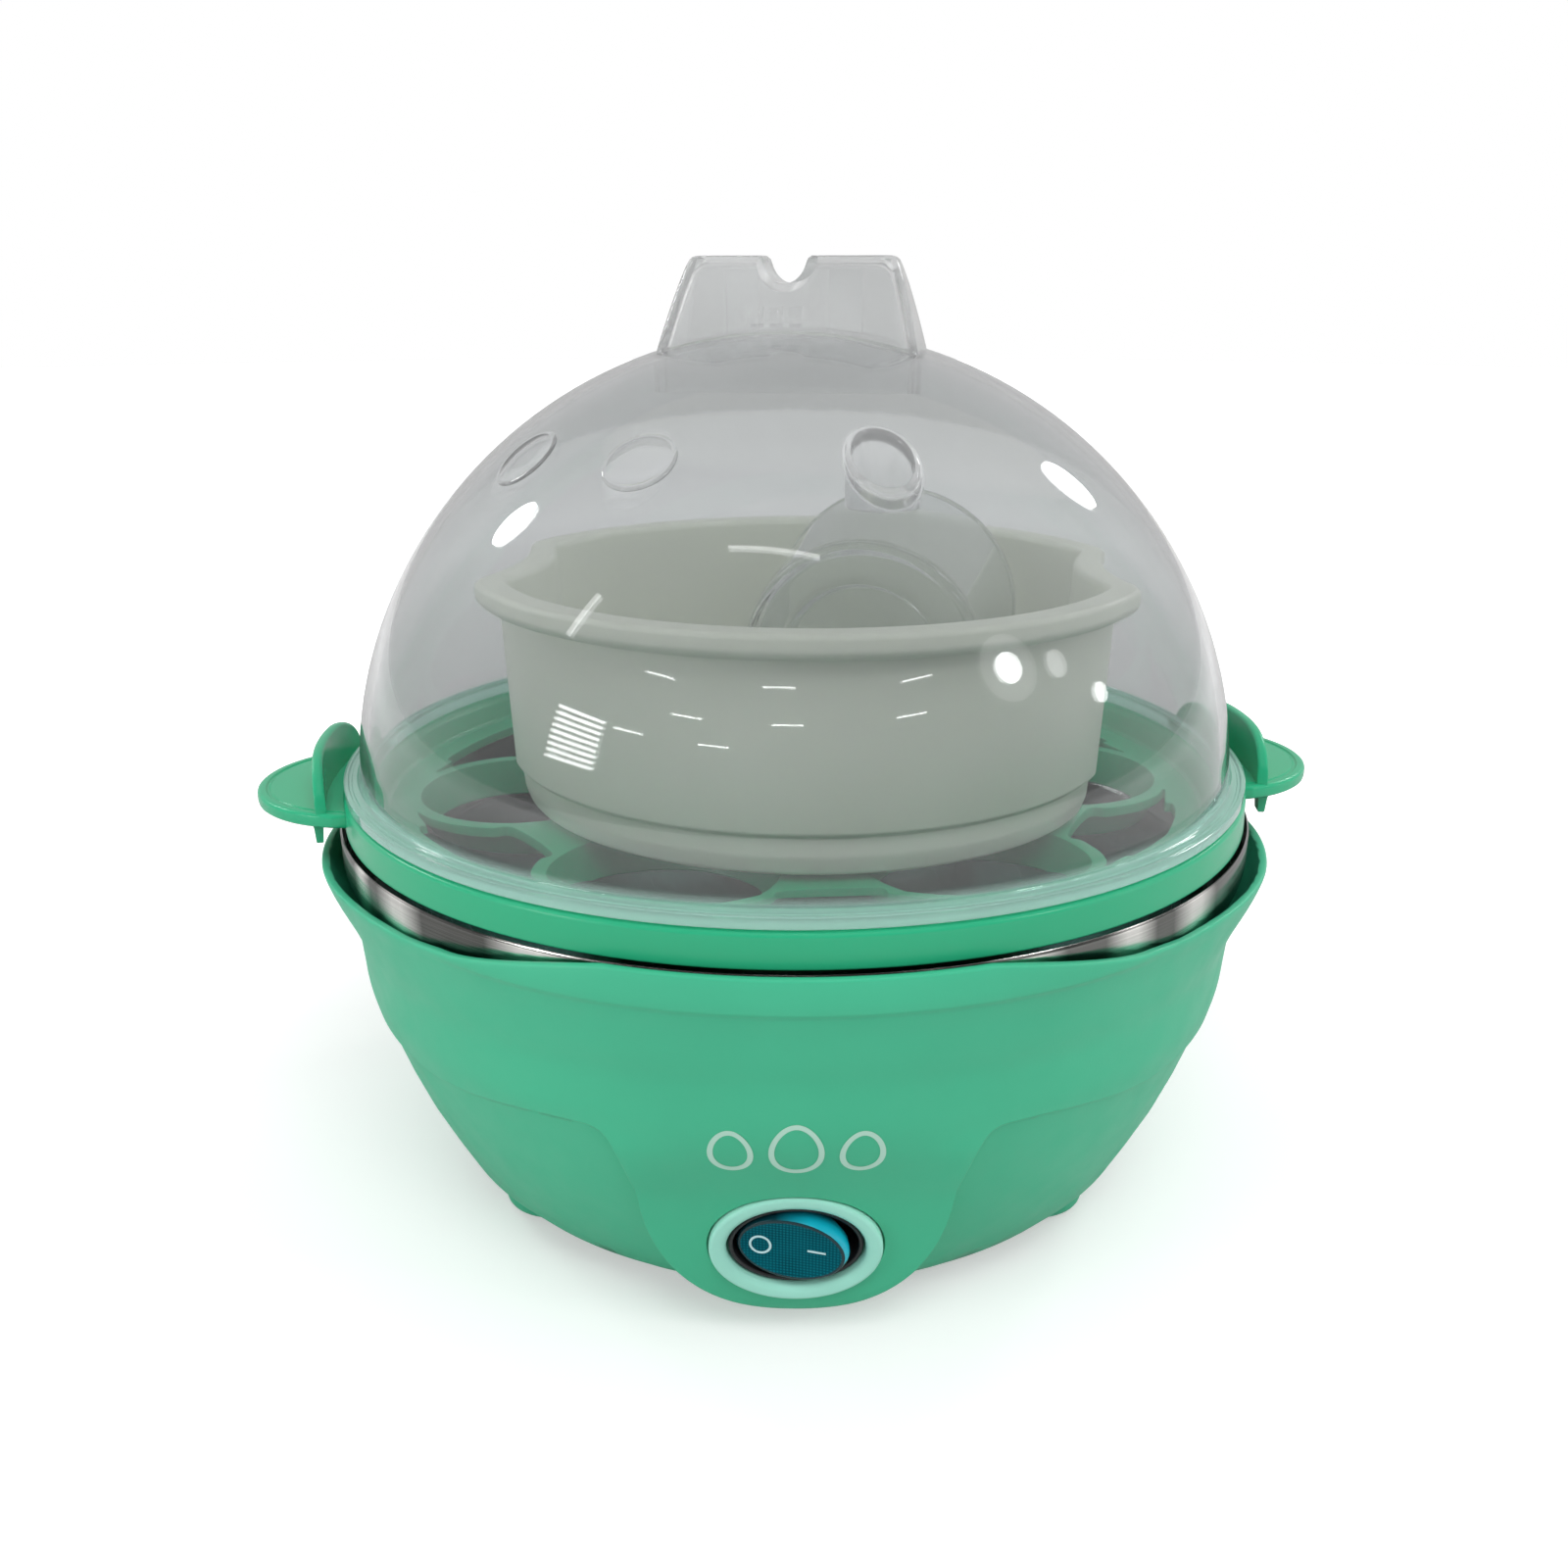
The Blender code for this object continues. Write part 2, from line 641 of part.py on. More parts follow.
def wires(live, neutral, earth):
    runs = (
        ("wire_live", live, ((-8.0, 22.5, 14.0), (-14.0, 8.0, 16.0), (-14.0, -14.0, 20.0),
                             (-9.0, -30.0, 24.0), (-5.0, -43.0, 25.0))),
        ("wire_neutral", neutral, ((8.0, 22.5, 14.0), (14.0, 8.0, 16.0), (14.0, -14.0, 20.0),
                                   (9.0, -30.0, 24.0), (5.0, -43.0, 25.0))),
        ("wire_earth", earth, ((0.0, 22.5, 14.0), (-1.0, 14.0, 18.0), (0.0, 9.0, 25.0),
                               (0.0, 9.0, 31.8))),
    )
    for name, mat, points in runs:
        bm = bmesh.new()
        tube(bm, curve_points(points, 4), 1.1, 6)
        add(name, bm, mat)


# ---- egg tray --------------------------------------------------------------

def plate_fill(bm, loops):
    """A flat face with holes between closed loops of vertices."""
    edges = []
    for loop in loops:
        for first, second in zip(loop, loop[1:] + loop[:1]):
            edges.append(bm.edges.get((first, second)) or bm.edges.new((first, second)))
    bmesh.ops.triangle_fill(bm, use_beauty=True, use_dissolve=False, edges=edges)


def window_outline():
    """Opening between two egg rings, along +X: wide at the tray's edge, narrow within."""
    ring_x = EGG_CIRCLE * math.cos(math.radians(30.0))
    ring_y = EGG_CIRCLE * math.sin(math.radians(30.0))
    side = []
    for a in (62.0, 48.0, 34.0, 20.0, 8.0):
        t = math.radians(-a)
        side.append((ring_x + 21.4 * math.cos(t), ring_y + 21.4 * math.sin(t)))
    side.append((66.6, 17.2))
    for a in (12.5, 7.0):
        t = math.radians(a)
        side.append((70.6 * math.cos(t), 70.6 * math.sin(t)))
    return side + [(70.6, 0.0)] + [(x, -y) for x, y in reversed(side)]


def tray_holes(z, egg_r, grow):
    """Loops of points for the seven egg holes and the six windows at one height."""
    loops = []
    centres = [(0.0, 0.0)]
    centres += [polar(EGG_CIRCLE, 60.0 * k) for k in range(6)]
    for x, y in centres:
        loops.append(circle(egg_r, z, 20, (x, y)))
    for k in range(6):
        turn = Matrix.Rotation(math.radians(30.0 + 60.0 * k), 4, "Z")
        mid = Vector((63.0, 0.0, 0.0))
        outline = [Vector((x, y, 0.0)) for x, y in window_outline()]
        outline = [mid + (p - mid) * grow for p in outline]
        loops.append([turn @ Vector((p.x, p.y, z)) for p in outline])
    return loops


def egg_tray(mint):
    bm = bmesh.new()
    band = ((75.2, DECK_TOP), (75.8, DECK_TOP + 0.5), (77.2, 74.6), (77.9, TRAY_TOP - 0.3),
            (78.3, TRAY_TOP), (TRAY_R - 0.5, TRAY_TOP), (TRAY_R - 0.1, TRAY_TOP - 0.4),
            (TRAY_R + 0.1, 70.1), (TRAY_R - 1.7, 70.1), (TRAY_R - 1.9, 73.9), (78.9, 73.9),
            (77.4, DECK_BOTTOM + 0.6), (76.2, DECK_BOTTOM))
    rows = [[bm.verts.new(p) for p in circle(r, z, 60)] for r, z in band]
    for first, second in zip(rows, rows[1:]):
        bridge(bm, first, second)
    top = [[bm.verts.new(p) for p in loop] for loop in tray_holes(DECK_TOP, EGG_MOUTH, 1.0)]
    low = [[bm.verts.new(p) for p in loop] for loop in tray_holes(DECK_BOTTOM, EGG_MOUTH + 1.5, 1.0)]
    plate_fill(bm, [rows[0]] + top)
    plate_fill(bm, [rows[-1]] + low)
    for i, (upper, lower) in enumerate(zip(top, low)):
        if i < 7:
            middle = sum((v.co for v in upper), Vector()) / len(upper)
            spot = (middle.x, middle.y)
            seat_in = [bm.verts.new(p) for p in circle(EGG_SEAT, EGG_SEAT_Z, 20, spot)]
            seat_out = [bm.verts.new(p) for p in circle(EGG_SEAT + 1.5, EGG_SEAT_Z, 20, spot)]
            bridge(bm, upper, seat_in)
            bridge(bm, seat_in, seat_out)
            bridge(bm, seat_out, lower)
        else:
            bridge(bm, upper, lower)
    turn = Matrix.Rotation(math.radians(TRAY_TURN), 4, "Z")
    tray = add("egg_tray", bm, mint, turn)
    boolean(tray, tool("tab_union", tab_bodies(), turn), "UNION")
    boolean(tray, tool("fin_union", fin_bodies(), turn), "UNION")


def tab_outline():
    points = []
    for k in range(9):
        a = math.radians(-14.4 + 3.6 * k)
        points.append((81.4 * math.cos(a), 81.4 * math.sin(a)))
    for k in range(15):
        a = math.radians(80.5 - 161.0 * k / 14.0)
        points.append((TAB_ROOT + (TAB_TIP - TAB_ROOT) * math.cos(a), TAB_HALF * math.sin(a)))
    return points


def tab_bodies():
    """The two half-oval lifting tabs."""
    bm = bmesh.new()
    for flip in (1.0, -1.0):
        rows = []
        for inset, z in ((0.6, 71.4), (0.0, 71.9), (0.0, 73.6), (0.5, 74.0)):
            row = []
            for k, (x, y) in enumerate(tab_outline()):
                if k > 8:
                    x -= inset
                    y -= math.copysign(inset, y) if abs(y) > 1.0 else 0.0
                row.append(Vector((flip * x, flip * y, z)))
            rows.append(row)
        loft(bm, rows)
    return bm


def fin_bodies():
    """An upright curved fin on each tab, and two short prongs below it."""
    bm = bmesh.new()
    for flip in (0.0, 180.0):
        rows = []
        for k in range(-6, 7):
            a = math.radians(flip + 13.0 * k / 6.0)
            top = 74.4 + 8.0 * math.sqrt(1.0 - (abs(k) / 6.0) ** 3.2)
            row = []
            for r, z in ((85.3, 73.0), (87.2, 73.0), (86.9, top - 0.3), (86.4, top), (85.6, top)):
                row.append(Vector((r * math.cos(a), r * math.sin(a), z)))
            rows.append(row)
        loft(bm, rows)
        for side in (-11.0, 11.0):
            turn = Matrix.Rotation(math.radians(flip + side), 4, "Z")
            rows = [box_loop(86.2, 87.4, -1.5, 1.5, 68.0), box_loop(85.9, 87.7, -2.2, 2.2, 72.4)]
            loft(bm, [[turn @ p for p in row] for row in rows])
    return bm


# ---- lid -------------------------------------------------------------------

def dome_z(radius, inset=0.0):
    """Height of the dome at a radius; inset gives the inner skin."""
    share = clamp(radius / (DOME_R - inset))
    return LID_BASE + (DOME_RISE - inset) * (1.0 - share * share) ** (1.0 / DOME_POWER)


def dome_profile():
    outer = [(FLANGE_R, LID_Z + 0.3), (FLANGE_R, LID_BASE - 0.4), (FLANGE_R - 0.4, LID_BASE)]
    shares = (0.9995, 0.993, 0.975, 0.94, 0.885, 0.81, 0.71, 0.58, 0.42, 0.22)
    for share in shares:
        outer.append((DOME_R * share, dome_z(DOME_R * share)))
    outer.append((0.0, dome_z(0.0)))
    inner = [(0.0, dome_z(0.0, DOME_WALL))]
    for share in reversed(shares):
        radius = (DOME_R - DOME_WALL) * share
        inner.append((radius, dome_z(radius, DOME_WALL)))
    inner += [(DOME_R - DOME_WALL, LID_Z + 0.1), (FLANGE_R - 0.3, LID_Z)]
    return inner + outer


def lid_dome(clear):
    bm = bmesh.new()
    turned(bm, dome_profile(), 48)
    dome = add("lid_dome", bm, clear, sharp=50.0)
    vent = bmesh.new()
    turned(vent, ((VENT_R, VENT_LOW), (VENT_R, dome_z(43.0))), 24, VENT_AT)
    cuts = bmesh.new()
    turned(cuts, ((VENT_BORE, VENT_LOW - 4.0), (VENT_BORE, 150.0)), 24, VENT_AT)
    turn = Matrix.Rotation(math.radians(HANDLE_TURN), 4, "Z")
    for x in (-9.0, 9.0):
        rows = [box_loop(x - 3.3, x + 3.3, -1.5, 1.5, z) for z in (148.0, 158.0)]
        loft(cuts, [[turn @ p for p in row] for row in rows])
    boolean(dome, vent_tool(vent), "UNION")
    boolean(dome, tool("dome_cuts", cuts), "DIFFERENCE")


def vent_tool(bm):
    """The vent's tube, sheared so that its top follows the dome's slope."""
    top = max(v.co.z for v in bm.verts)
    for vert in bm.verts:
        if vert.co.z > top - 0.01:
            vert.co.z = dome_z(math.hypot(vert.co.x, vert.co.y)) + 0.35
    return tool("vent_union", bm)


def handle_half_depth(z):
    t = clamp((HANDLE_TOP - z) / 15.0)
    return 3.6 + 7.4 * t


def notch_z(x):
    """Top of the handle at x: flat, with a round-bottomed notch in the middle."""
    off = abs(x + 1.0)
    if off >= 3.7:
        return HANDLE_TOP
    return HANDLE_TOP - 4.5 * math.sqrt(1.0 - (off / 3.7) ** 2.2)


def handle_stations():
    """Positions across the handle, from one end to the other, close together at the notch."""
    left = [-22.6, -21.5, -19.8, -18.2, -16.5, -12.0, -8.0, -4.8]
    middle = [-4.4, -3.9, -3.1, -2.1, -1.0, 0.1, 1.1, 1.9, 2.4]
    right = [2.8, 6.0, 10.0, 14.0, 16.5, 18.2, 19.8, 21.5, 22.6]
    return left + middle + right


def handle_top(x):
    """Height of the outline at x: the top edge, or the sloping end."""
    if abs(x) <= 17.4:
        return notch_z(x)
    drop = ((abs(x) - 17.4) / 5.2) ** (1.0 / 0.75)
    return HANDLE_TOP - 17.0 * clamp(drop)


def lid_handle(clear):
    """Wedge-shaped grip, hollow from below, that sits on the dome with two snap tabs."""
    bm = bmesh.new()
    rows = []
    for x in handle_stations():
        high = handle_top(x)
        inner = 1.6 if abs(x) < 21.0 else 0.0
        y_top = handle_half_depth(high)
        low_y = handle_half_depth(dome_z(math.hypot(x, 9.5)))
        z_low = dome_z(math.hypot(x, low_y)) + 0.35
        high = max(high, z_low + 0.8)
        z_in = max(min(high - 1.6, z_low + 9.0), z_low + 0.2)
        z_mid = dome_z(math.hypot(x, low_y - 1.6)) + 0.35
        row = [Vector((x, -low_y, z_low)), Vector((x, -y_top, high)), Vector((x, y_top, high)),
               Vector((x, low_y, z_low))]
        if inner:
            y_in = max(handle_half_depth(z_in) - 1.6, 1.2)
            row += [Vector((x, low_y - 1.6, z_mid)), Vector((x, y_in, max(z_in, z_mid + 0.1))),
                    Vector((x, -y_in, max(z_in, z_mid + 0.1))), Vector((x, 1.6 - low_y, z_mid))]
        else:
            row += [Vector((x, low_y - 1.6, z_mid)), Vector((x, 2.0, z_mid + 0.01)),
                    Vector((x, -2.0, z_mid + 0.01)), Vector((x, 1.6 - low_y, z_mid))]
        rows.append(row)
    loft(bm, rows)
    turn = Matrix.Rotation(math.radians(HANDLE_TURN), 4, "Z")
    handle = add("lid_handle", bm, clear, turn)
    tabs = bmesh.new()
    for x in (-9.0, 9.0):
        rows = [box_loop(x - 2.8, x + 2.8, -1.0, 1.0, z) for z in (149.6, 163.0)]
        loft(tabs, rows)
    boolean(handle, tool("snap_union", tabs, turn), "UNION")


# ---- bowl and cup ----------------------------------------------------------

def bowl_notch(angle):
    """How far the wall is pinched in at an angle: a shallow hollow across each end."""
    a = abs(angle) % 180.0
    a = min(a, 180.0 - a)
    if a >= NOTCH_ANGLE:
        return 0.0
    floor = BOWL_LIP_R - NOTCH_DEPTH
    corner = BOWL_LIP_R * math.cos(math.radians(NOTCH_ANGLE))
    across = floor + (corner - floor) * (a / NOTCH_ANGLE) ** 2
    return max(0.0, BOWL_LIP_R - across / math.cos(math.radians(a)))


def bowl_angles():
    near = [0.0, 7.0, 13.0, 17.5, 20.0, 21.2]
    angles = []
    for k in (0.0, 180.0):
        angles += [k - a for a in reversed(near[1:])] + [k + a for a in near]
        angles += [k + 28.0 + 8.86 * i for i in range(15)]
    return angles


def steam_bowl(white):
    z0 = BOWL_FLOOR
    outer = ((0.0, z0), (49.0, z0), (52.4, z0 + 1.4), (53.5, z0 + 4.6), (53.7, z0 + 8.0),
             (54.9, z0 + 8.6), (56.2, BOWL_RIM - 4.6), (59.3, BOWL_RIM - 4.0),
             (BOWL_LIP_R, BOWL_RIM - 2.8), (BOWL_LIP_R, BOWL_RIM - 0.6), (59.5, BOWL_RIM))
    inner = ((55.2, BOWL_RIM), (54.6, BOWL_RIM - 0.9), (53.3, z0 + 9.4), (52.1, z0 + 8.2),
             (51.9, z0 + 5.0), (50.9, z0 + 2.8), (48.6, z0 + 1.8), (0.0, z0 + 1.8))
    rows = []
    for r, z in outer + inner:
        if r == 0.0:
            rows.append([Vector((0.0, 0.0, z))])
            continue
        row = []
        for angle in bowl_angles():
            pinch = bowl_notch(angle) * clamp((r - 40.0) / 8.0)
            a = math.radians(angle)
            row.append(Vector(((r - pinch) * math.cos(a), (r - pinch) * math.sin(a), z)))
        rows.append(row)
    bm = bmesh.new()
    loft(bm, rows)
    place = Matrix.Translation((BOWL_AT[0], BOWL_AT[1], 0.0))
    place = place @ Matrix.Rotation(math.radians(BOWL_TURN), 4, "Z")
    add("steam_bowl", bm, white, place)


def cup_place():
    """Frame of the cup lying on the bowl's floor: its z runs from base to mouth."""
    floor = BOWL_FLOOR + 2.1
    base = Vector((*CUP_BASE, floor + CUP_BASE_R))
    mouth = Vector((*CUP_MOUTH, floor + CUP_MOUTH_R))
    axis = (mouth - base).normalized()
    level = Vector((axis.y, -axis.x, 0.0)).normalized()
    turn = Matrix((level, axis.cross(level), axis)).transposed().to_4x4()
    return Matrix.Translation(base) @ turn, (mouth - base).length


def measuring_cup(clear):
    place, length = cup_place()
    base = CUP_BASE_R
    mouth = CUP_MOUTH_R
    profile = ((0.0, 2.8), (13.6, 2.8), (14.6, 0.0), (base - 1.0, 0.0), (base - 0.15, 0.8),
               (base + 0.2, 3.0), (mouth - 0.5, length - 2.2), (mouth - 0.1, length - 2.0),
               (mouth - 0.1, length), (mouth - 0.1 - CUP_WALL, length),
               (base - CUP_WALL + 0.1, 4.4), (base - CUP_WALL - 1.0, 3.5), (15.5, 3.4),
               (13.0, 4.2), (0.0, 4.2))
    bm = bmesh.new()
    turned(bm, profile, 28)
    cup = add("measuring_cup", bm, clear, place)
    hole = bmesh.new()
    turned(hole, ((1.3, 1.0), (1.3, 6.0)), 12)
    boolean(cup, tool("pin_hole", hole, place), "DIFFERENCE")


def piercing_pin(steel):
    """Pin in the cup's recessed base that pricks an egg's blunt end."""
    place, _ = cup_place()
    bm = bmesh.new()
    turned(bm, ((0.0, 5.4), (2.4, 5.4), (2.4, 4.6), (0.9, 4.6), (0.9, 2.0), (0.45, 1.4),
                (0.0, 0.4)), 12)
    add("piercing_pin", bm, steel, place)


# ---- assembly --------------------------------------------------------------

def main():
    clear_scene()
    mint = material("mint_plastic", MINT, 0.35)
    gloss_mint = material("gloss_mint_plastic", MINT, 0.2)
    pale = material("pale_mint_plastic", PALE_MINT, 0.3)
    steel = material("brushed_steel", (0.62, 0.61, 0.60), 0.3, 1.0)
    screw_steel = material("screw_steel", (0.55, 0.55, 0.56), 0.35, 1.0)
    aluminium = material("heater_aluminium", (0.66, 0.67, 0.68), 0.5, 1.0)
    ceramic = material("ceramic", (0.85, 0.82, 0.75), 0.6)
    rubber = material("rubber", (0.08, 0.09, 0.09), 0.8)
    black = material("black_plastic", (0.02, 0.02, 0.022), 0.45)
    teal = material("teal_rocker", (0.02, 0.17, 0.24), 0.2)
    brass = material("brass", (0.78, 0.60, 0.30), 0.35, 1.0)
    glass = material("lamp_glass", (0.9, 0.75, 0.6), 0.1, 0.0, 0.5)
    clear = material("clear_plastic", (0.86, 0.86, 0.88), 0.1, 0.0, 0.3)
    white = material("milky_plastic", (0.72, 0.76, 0.72), 0.4)
    live = material("wire_brown", (0.20, 0.09, 0.04), 0.5)
    neutral = material("wire_blue", (0.05, 0.12, 0.45), 0.5)
    earth = material("wire_green", (0.12, 0.40, 0.10), 0.5)

    housing(mint)
    base_cover(mint)
    foot_pads(rubber)
    for i, angle in enumerate(BOSS_ANGLES):
        screw(f"base_screw_{i + 1}", polar(BOSS_R, angle), 3.9, 15.5, 2.9, 1.2, screw_steel)
    heating_plate(steel)
    heater_element(aluminium)
    heater_clamp(screw_steel)
    heat_shield(steel)
    sensors(ceramic, screw_steel)
    switch_bezel(pale)
    switch_body(black)
    rocker(teal)
    terminals(brass)
    indicator_lamp(glass)
    cord_inlet(black, screw_steel, brass, ceramic)
    wires(live, neutral, earth)
    egg_tray(gloss_mint)
    steam_bowl(white)
    measuring_cup(clear)
    piercing_pin(screw_steel)
    lid_dome(clear)
    lid_handle(clear)


main()
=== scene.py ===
"""Fine surfaces, materials, light and camera for the egg cooker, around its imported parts.

Shapes are worked out in millimetres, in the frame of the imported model, and scaled to metres
as each mesh is made: +Z up, the feet stand on z = 0, the switch faces -Y.
"""

import json
import math

import bmesh
import bpy
from mathutils import Matrix, Vector


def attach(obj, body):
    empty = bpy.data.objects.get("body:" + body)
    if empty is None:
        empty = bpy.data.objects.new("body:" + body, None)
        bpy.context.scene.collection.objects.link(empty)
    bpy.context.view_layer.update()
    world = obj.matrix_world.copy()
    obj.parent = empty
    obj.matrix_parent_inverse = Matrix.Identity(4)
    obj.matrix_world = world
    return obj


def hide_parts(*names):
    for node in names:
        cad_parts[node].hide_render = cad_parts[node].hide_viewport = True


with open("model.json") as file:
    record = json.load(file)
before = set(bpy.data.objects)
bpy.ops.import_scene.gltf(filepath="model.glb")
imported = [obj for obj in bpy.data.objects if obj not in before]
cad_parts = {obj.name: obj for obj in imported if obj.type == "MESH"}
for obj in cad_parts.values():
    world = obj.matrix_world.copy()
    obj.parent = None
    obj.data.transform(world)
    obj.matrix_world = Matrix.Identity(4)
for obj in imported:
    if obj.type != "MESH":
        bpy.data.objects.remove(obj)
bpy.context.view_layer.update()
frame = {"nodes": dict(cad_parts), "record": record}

MM = 0.001

# ---- housing ---------------------------------------------------------------
BASE_Z = 4.6
WALL = 2.3
TURN_Z = 50.0
RIM_FRONT = 70.2
RIM_KINK = 65.7
RIM_SIDE = 64.6
RIM_DIP = 1.3
SLOPE_ANGLE = 19.0
KINK_ANGLE = 38.0
COLLAR_LINE = 64.2
COLLAR_STEP = 0.7
EAR_FLARE = 2.1
LIP_T = 1.5
UPPER_WALL = ((37.0, 79.5), (42.0, 80.7), (47.0, 81.2), (51.5, 81.7), (54.0, 82.4),
              (57.5, 83.2), (61.0, 84.0), (64.2, 84.9), (71.0, 84.9))
LOWER_WALL = ((4.0, 62.8), (7.0, 65.6), (13.0, 68.9), (19.0, 72.0), (28.0, 75.7), (41.0, 80.0))
APRON_FACE = ((4.0, 70.0), (7.0, 71.3), (12.0, 72.3), (18.0, 73.1), (23.0, 73.9),
              (28.0, 75.0), (33.0, 76.9), (38.0, 79.3), (43.0, 80.8), (47.0, 81.2))
APRON_ANGLE = 18.6
APRON_TOP = 28.0
APRON_DEPTH = 23.1
APRON_POWER = 2.3
SHOULDER_ANGLE = 24.5
SHOULDER_Z = 40.8
STEP_Z = 37.5
LEDGE_Z = 54.0
LEDGE_R = 76.8

# ---- switch ----------------------------------------------------------------
SWITCH_Y = -73.1
SWITCH_Z = 18.6
SWITCH_LEAN = 8.0
BEZEL_HALF = (13.6, 10.3)
MOUTH_HALF = (10.9, 7.7)
FRAME_HALF = (10.6, 7.4)
WELL_HALF = (9.9, 6.7)
ROCKER_HALF = (9.1, 6.1)
ROCKER_REST = 12.0
ROCKER_TOP = 3.9
TAIL_HALF = (7.5, 4.6)
SEAT_GAP = 0.34
# Spacing of the lens dots, in metres.
LENS_PITCH = 0.00052
PIVOT_DEPTH = -3.0

# ---- base, cord inlet and pan ----------------------------------------------
COVER_R = 60.0
FOOT_R = 54.0
FOOT_ANGLES = (36.0, 144.0, 216.0, 324.0)
BOSS_R = 56.0
BOSS_ANGLES = (62.0, 118.0, 242.0, 298.0)
GLAND_Z = 19.0
GLAND_BORE = 3.0
PLATE_T = 0.9
PLATE_PATH = ((82.9, 69.3), (82.8, 66.8), (82.9, 64.2), (82.2, 61.6), (80.3, 57.6), (78.6, 55.3),
              (76.4, 54.8), (73.6, 54.7), (70.6, 53.0), (67.0, 51.3), (60.0, 50.5),
              (42.0, 50.5), (22.0, 50.8))
# Painted glints on the pan's wall, bright bands of colour standing in for reflected lamps: (degrees
# from the front, width in degrees).
PAINTED_GLINTS = ((-54.0, 3.0), (-44.0, 5.0), (-23.0, 6.0), (28.0, 5.0), (42.0, 4.0), (54.0, 5.0),
            (96.0, 7.0), (140.0, 9.0), (-110.0, 8.0), (-150.0, 10.0))
# Radii, in metres, between which the pan's floor turns into its wall.
STEEL_WALL = (0.074, 0.080)

# ---- egg tray --------------------------------------------------------------
TRAY_TURN = 5.5
TRAY_R = 82.3
TRAY_TOP = 75.7
DECK_TOP = 71.0
DECK_BOTTOM = 69.2
EGG_CIRCLE = 51.0
EGG_MOUTH = 18.6
EGG_SEAT = 16.4
EGG_SEAT_Z = 64.5
TAB_TIP = 98.6
TAB_HALF = 21.0
TAB_ROOT = 78.0
TAB_FOOT_R = 81.4
FIN_IN = 85.3
FIN_OUT = 87.2
FIN_FOOT = 73.0

# ---- lid -------------------------------------------------------------------
LID_Z = 76.0
LID_BASE = 78.0
FLANGE_R = 82.0
DOME_R = 79.1
DOME_RISE = 75.5
DOME_POWER = 1.9
DOME_WALL = 1.6
VENT_AT = (12.7, -47.4)
VENT_R = 5.6
VENT_BORE = 4.5
VENT_LOW = 129.0
VENT_SIDES = 56
# Height over which the milky foot turns clear, its tint, and the raised ovals as
# (x, y, half width, half height).
HAZE_Z = (77.9, 80.0)
FOOT_TINT = (0.49, 0.79, 0.70)
PADS = ((-23.5, -44.0, 6.2, 4.6), (-43.0, -28.0, 6.2, 4.6))
HANDLE_TURN = -9.0
HANDLE_TOP = 165.4
HANDLE_WALL = 1.6
SLOTS_X = (-9.0, 9.0)

# ---- bowl and cup ----------------------------------------------------------
BOWL_AT = (2.8, 0.0)
BOWL_TURN = -4.0
BOWL_FLOOR = 71.3
BOWL_RIM = 112.7
BOWL_LIP_R = 60.2
NOTCH_DEPTH = 6.9
NOTCH_ANGLE = 20.5
CUP_BASE = (12.0, -7.0)
CUP_MOUTH = (21.6, 35.0)
CUP_BASE_R = 22.0
CUP_MOUTH_R = 24.6
CUP_WALL = 1.4

# ---- all surfaces ----------------------------------------------------------
OVAL_SIDES = 96
SHARP = 38.0
CLEAR_SHARP = 42.0
PLASTIC_IOR = 1.49


# ---- numbers ---------------------------------------------------------------

def clamp(value, low=0.0, high=1.0):
    return max(low, min(high, value))


def smooth(t):
    t = clamp(t)
    return t * t * (3.0 - 2.0 * t)


def table(points, at):
    """Linear interpolation in a short (position, value) table."""
    if at <= points[0][0]:
        return points[0][1]
    for (x0, y0), (x1, y1) in zip(points, points[1:]):
        if at <= x1:
            return y0 + (y1 - y0) * (at - x0) / (x1 - x0)
    return points[-1][1]


def curve(points, at):
    """Smooth interpolation in the same kind of table (cubic, through every point)."""
    at = clamp(at, points[0][0], points[-1][0])
    last = len(points) - 1
    i = 0
    while i < last - 1 and at > points[i + 1][0]:
        i += 1

    def slope(k):
        low = points[max(k - 1, 0)]
        high = points[min(k + 1, last)]
        return (high[1] - low[1]) / (high[0] - low[0])

    (x0, y0), (x1, y1) = points[i], points[i + 1]
    step = x1 - x0
    t = (at - x0) / step
    m0 = slope(i) * step
    m1 = slope(i + 1) * step
    return ((2 * t ** 3 - 3 * t ** 2 + 1) * y0 + (t ** 3 - 2 * t ** 2 + t) * m0
            + (3 * t ** 2 - 2 * t ** 3) * y1 + (t ** 3 - t ** 2) * m1)


def about_z(degrees):
    return Matrix.Rotation(math.radians(degrees), 4, "Z")


def polar(radius, degrees):
    a = math.radians(degrees)
    return radius * math.cos(a), radius * math.sin(a)


def around(angle, radius, z):
    """Point at an angle from the front, turning towards +X."""
    a = math.radians(angle)
    return Vector((radius * math.sin(a), -radius * math.cos(a), z))


def rounded(profile, radius, steps=4):
    """The open (r, z) path with each inner corner rounded off to about the given radius."""
    path = [profile[0]]
    for before, corner, after in zip(profile, profile[1:], profile[2:]):
        b = Vector(before) - Vector(corner)
        a = Vector(after) - Vector(corner)
        cut = min(radius, b.length * 0.45, a.length * 0.45)
        start = Vector(corner) + b.normalized() * cut
        end = Vector(corner) + a.normalized() * cut
        for k in range(steps + 1):
            t = k / steps
            p = start.lerp(Vector(corner), t).lerp(Vector(corner).lerp(end, t), t)
            path.append((p.x, p.y))
    path.append(profile[-1])
    return path


def refined(profile, step):
    """The open (r, z) path with long stretches divided."""
    path = [profile[0]]
    for (r0, z0), (r1, z1) in zip(profile, profile[1:]):
        count = max(1, math.ceil(math.hypot(r1 - r0, z1 - z0) / step))
        for k in range(1, count + 1):
            path.append((r0 + (r1 - r0) * k / count, z0 + (z1 - z0) * k / count))
    return path


# ---- mesh helpers ----------------------------------------------------------

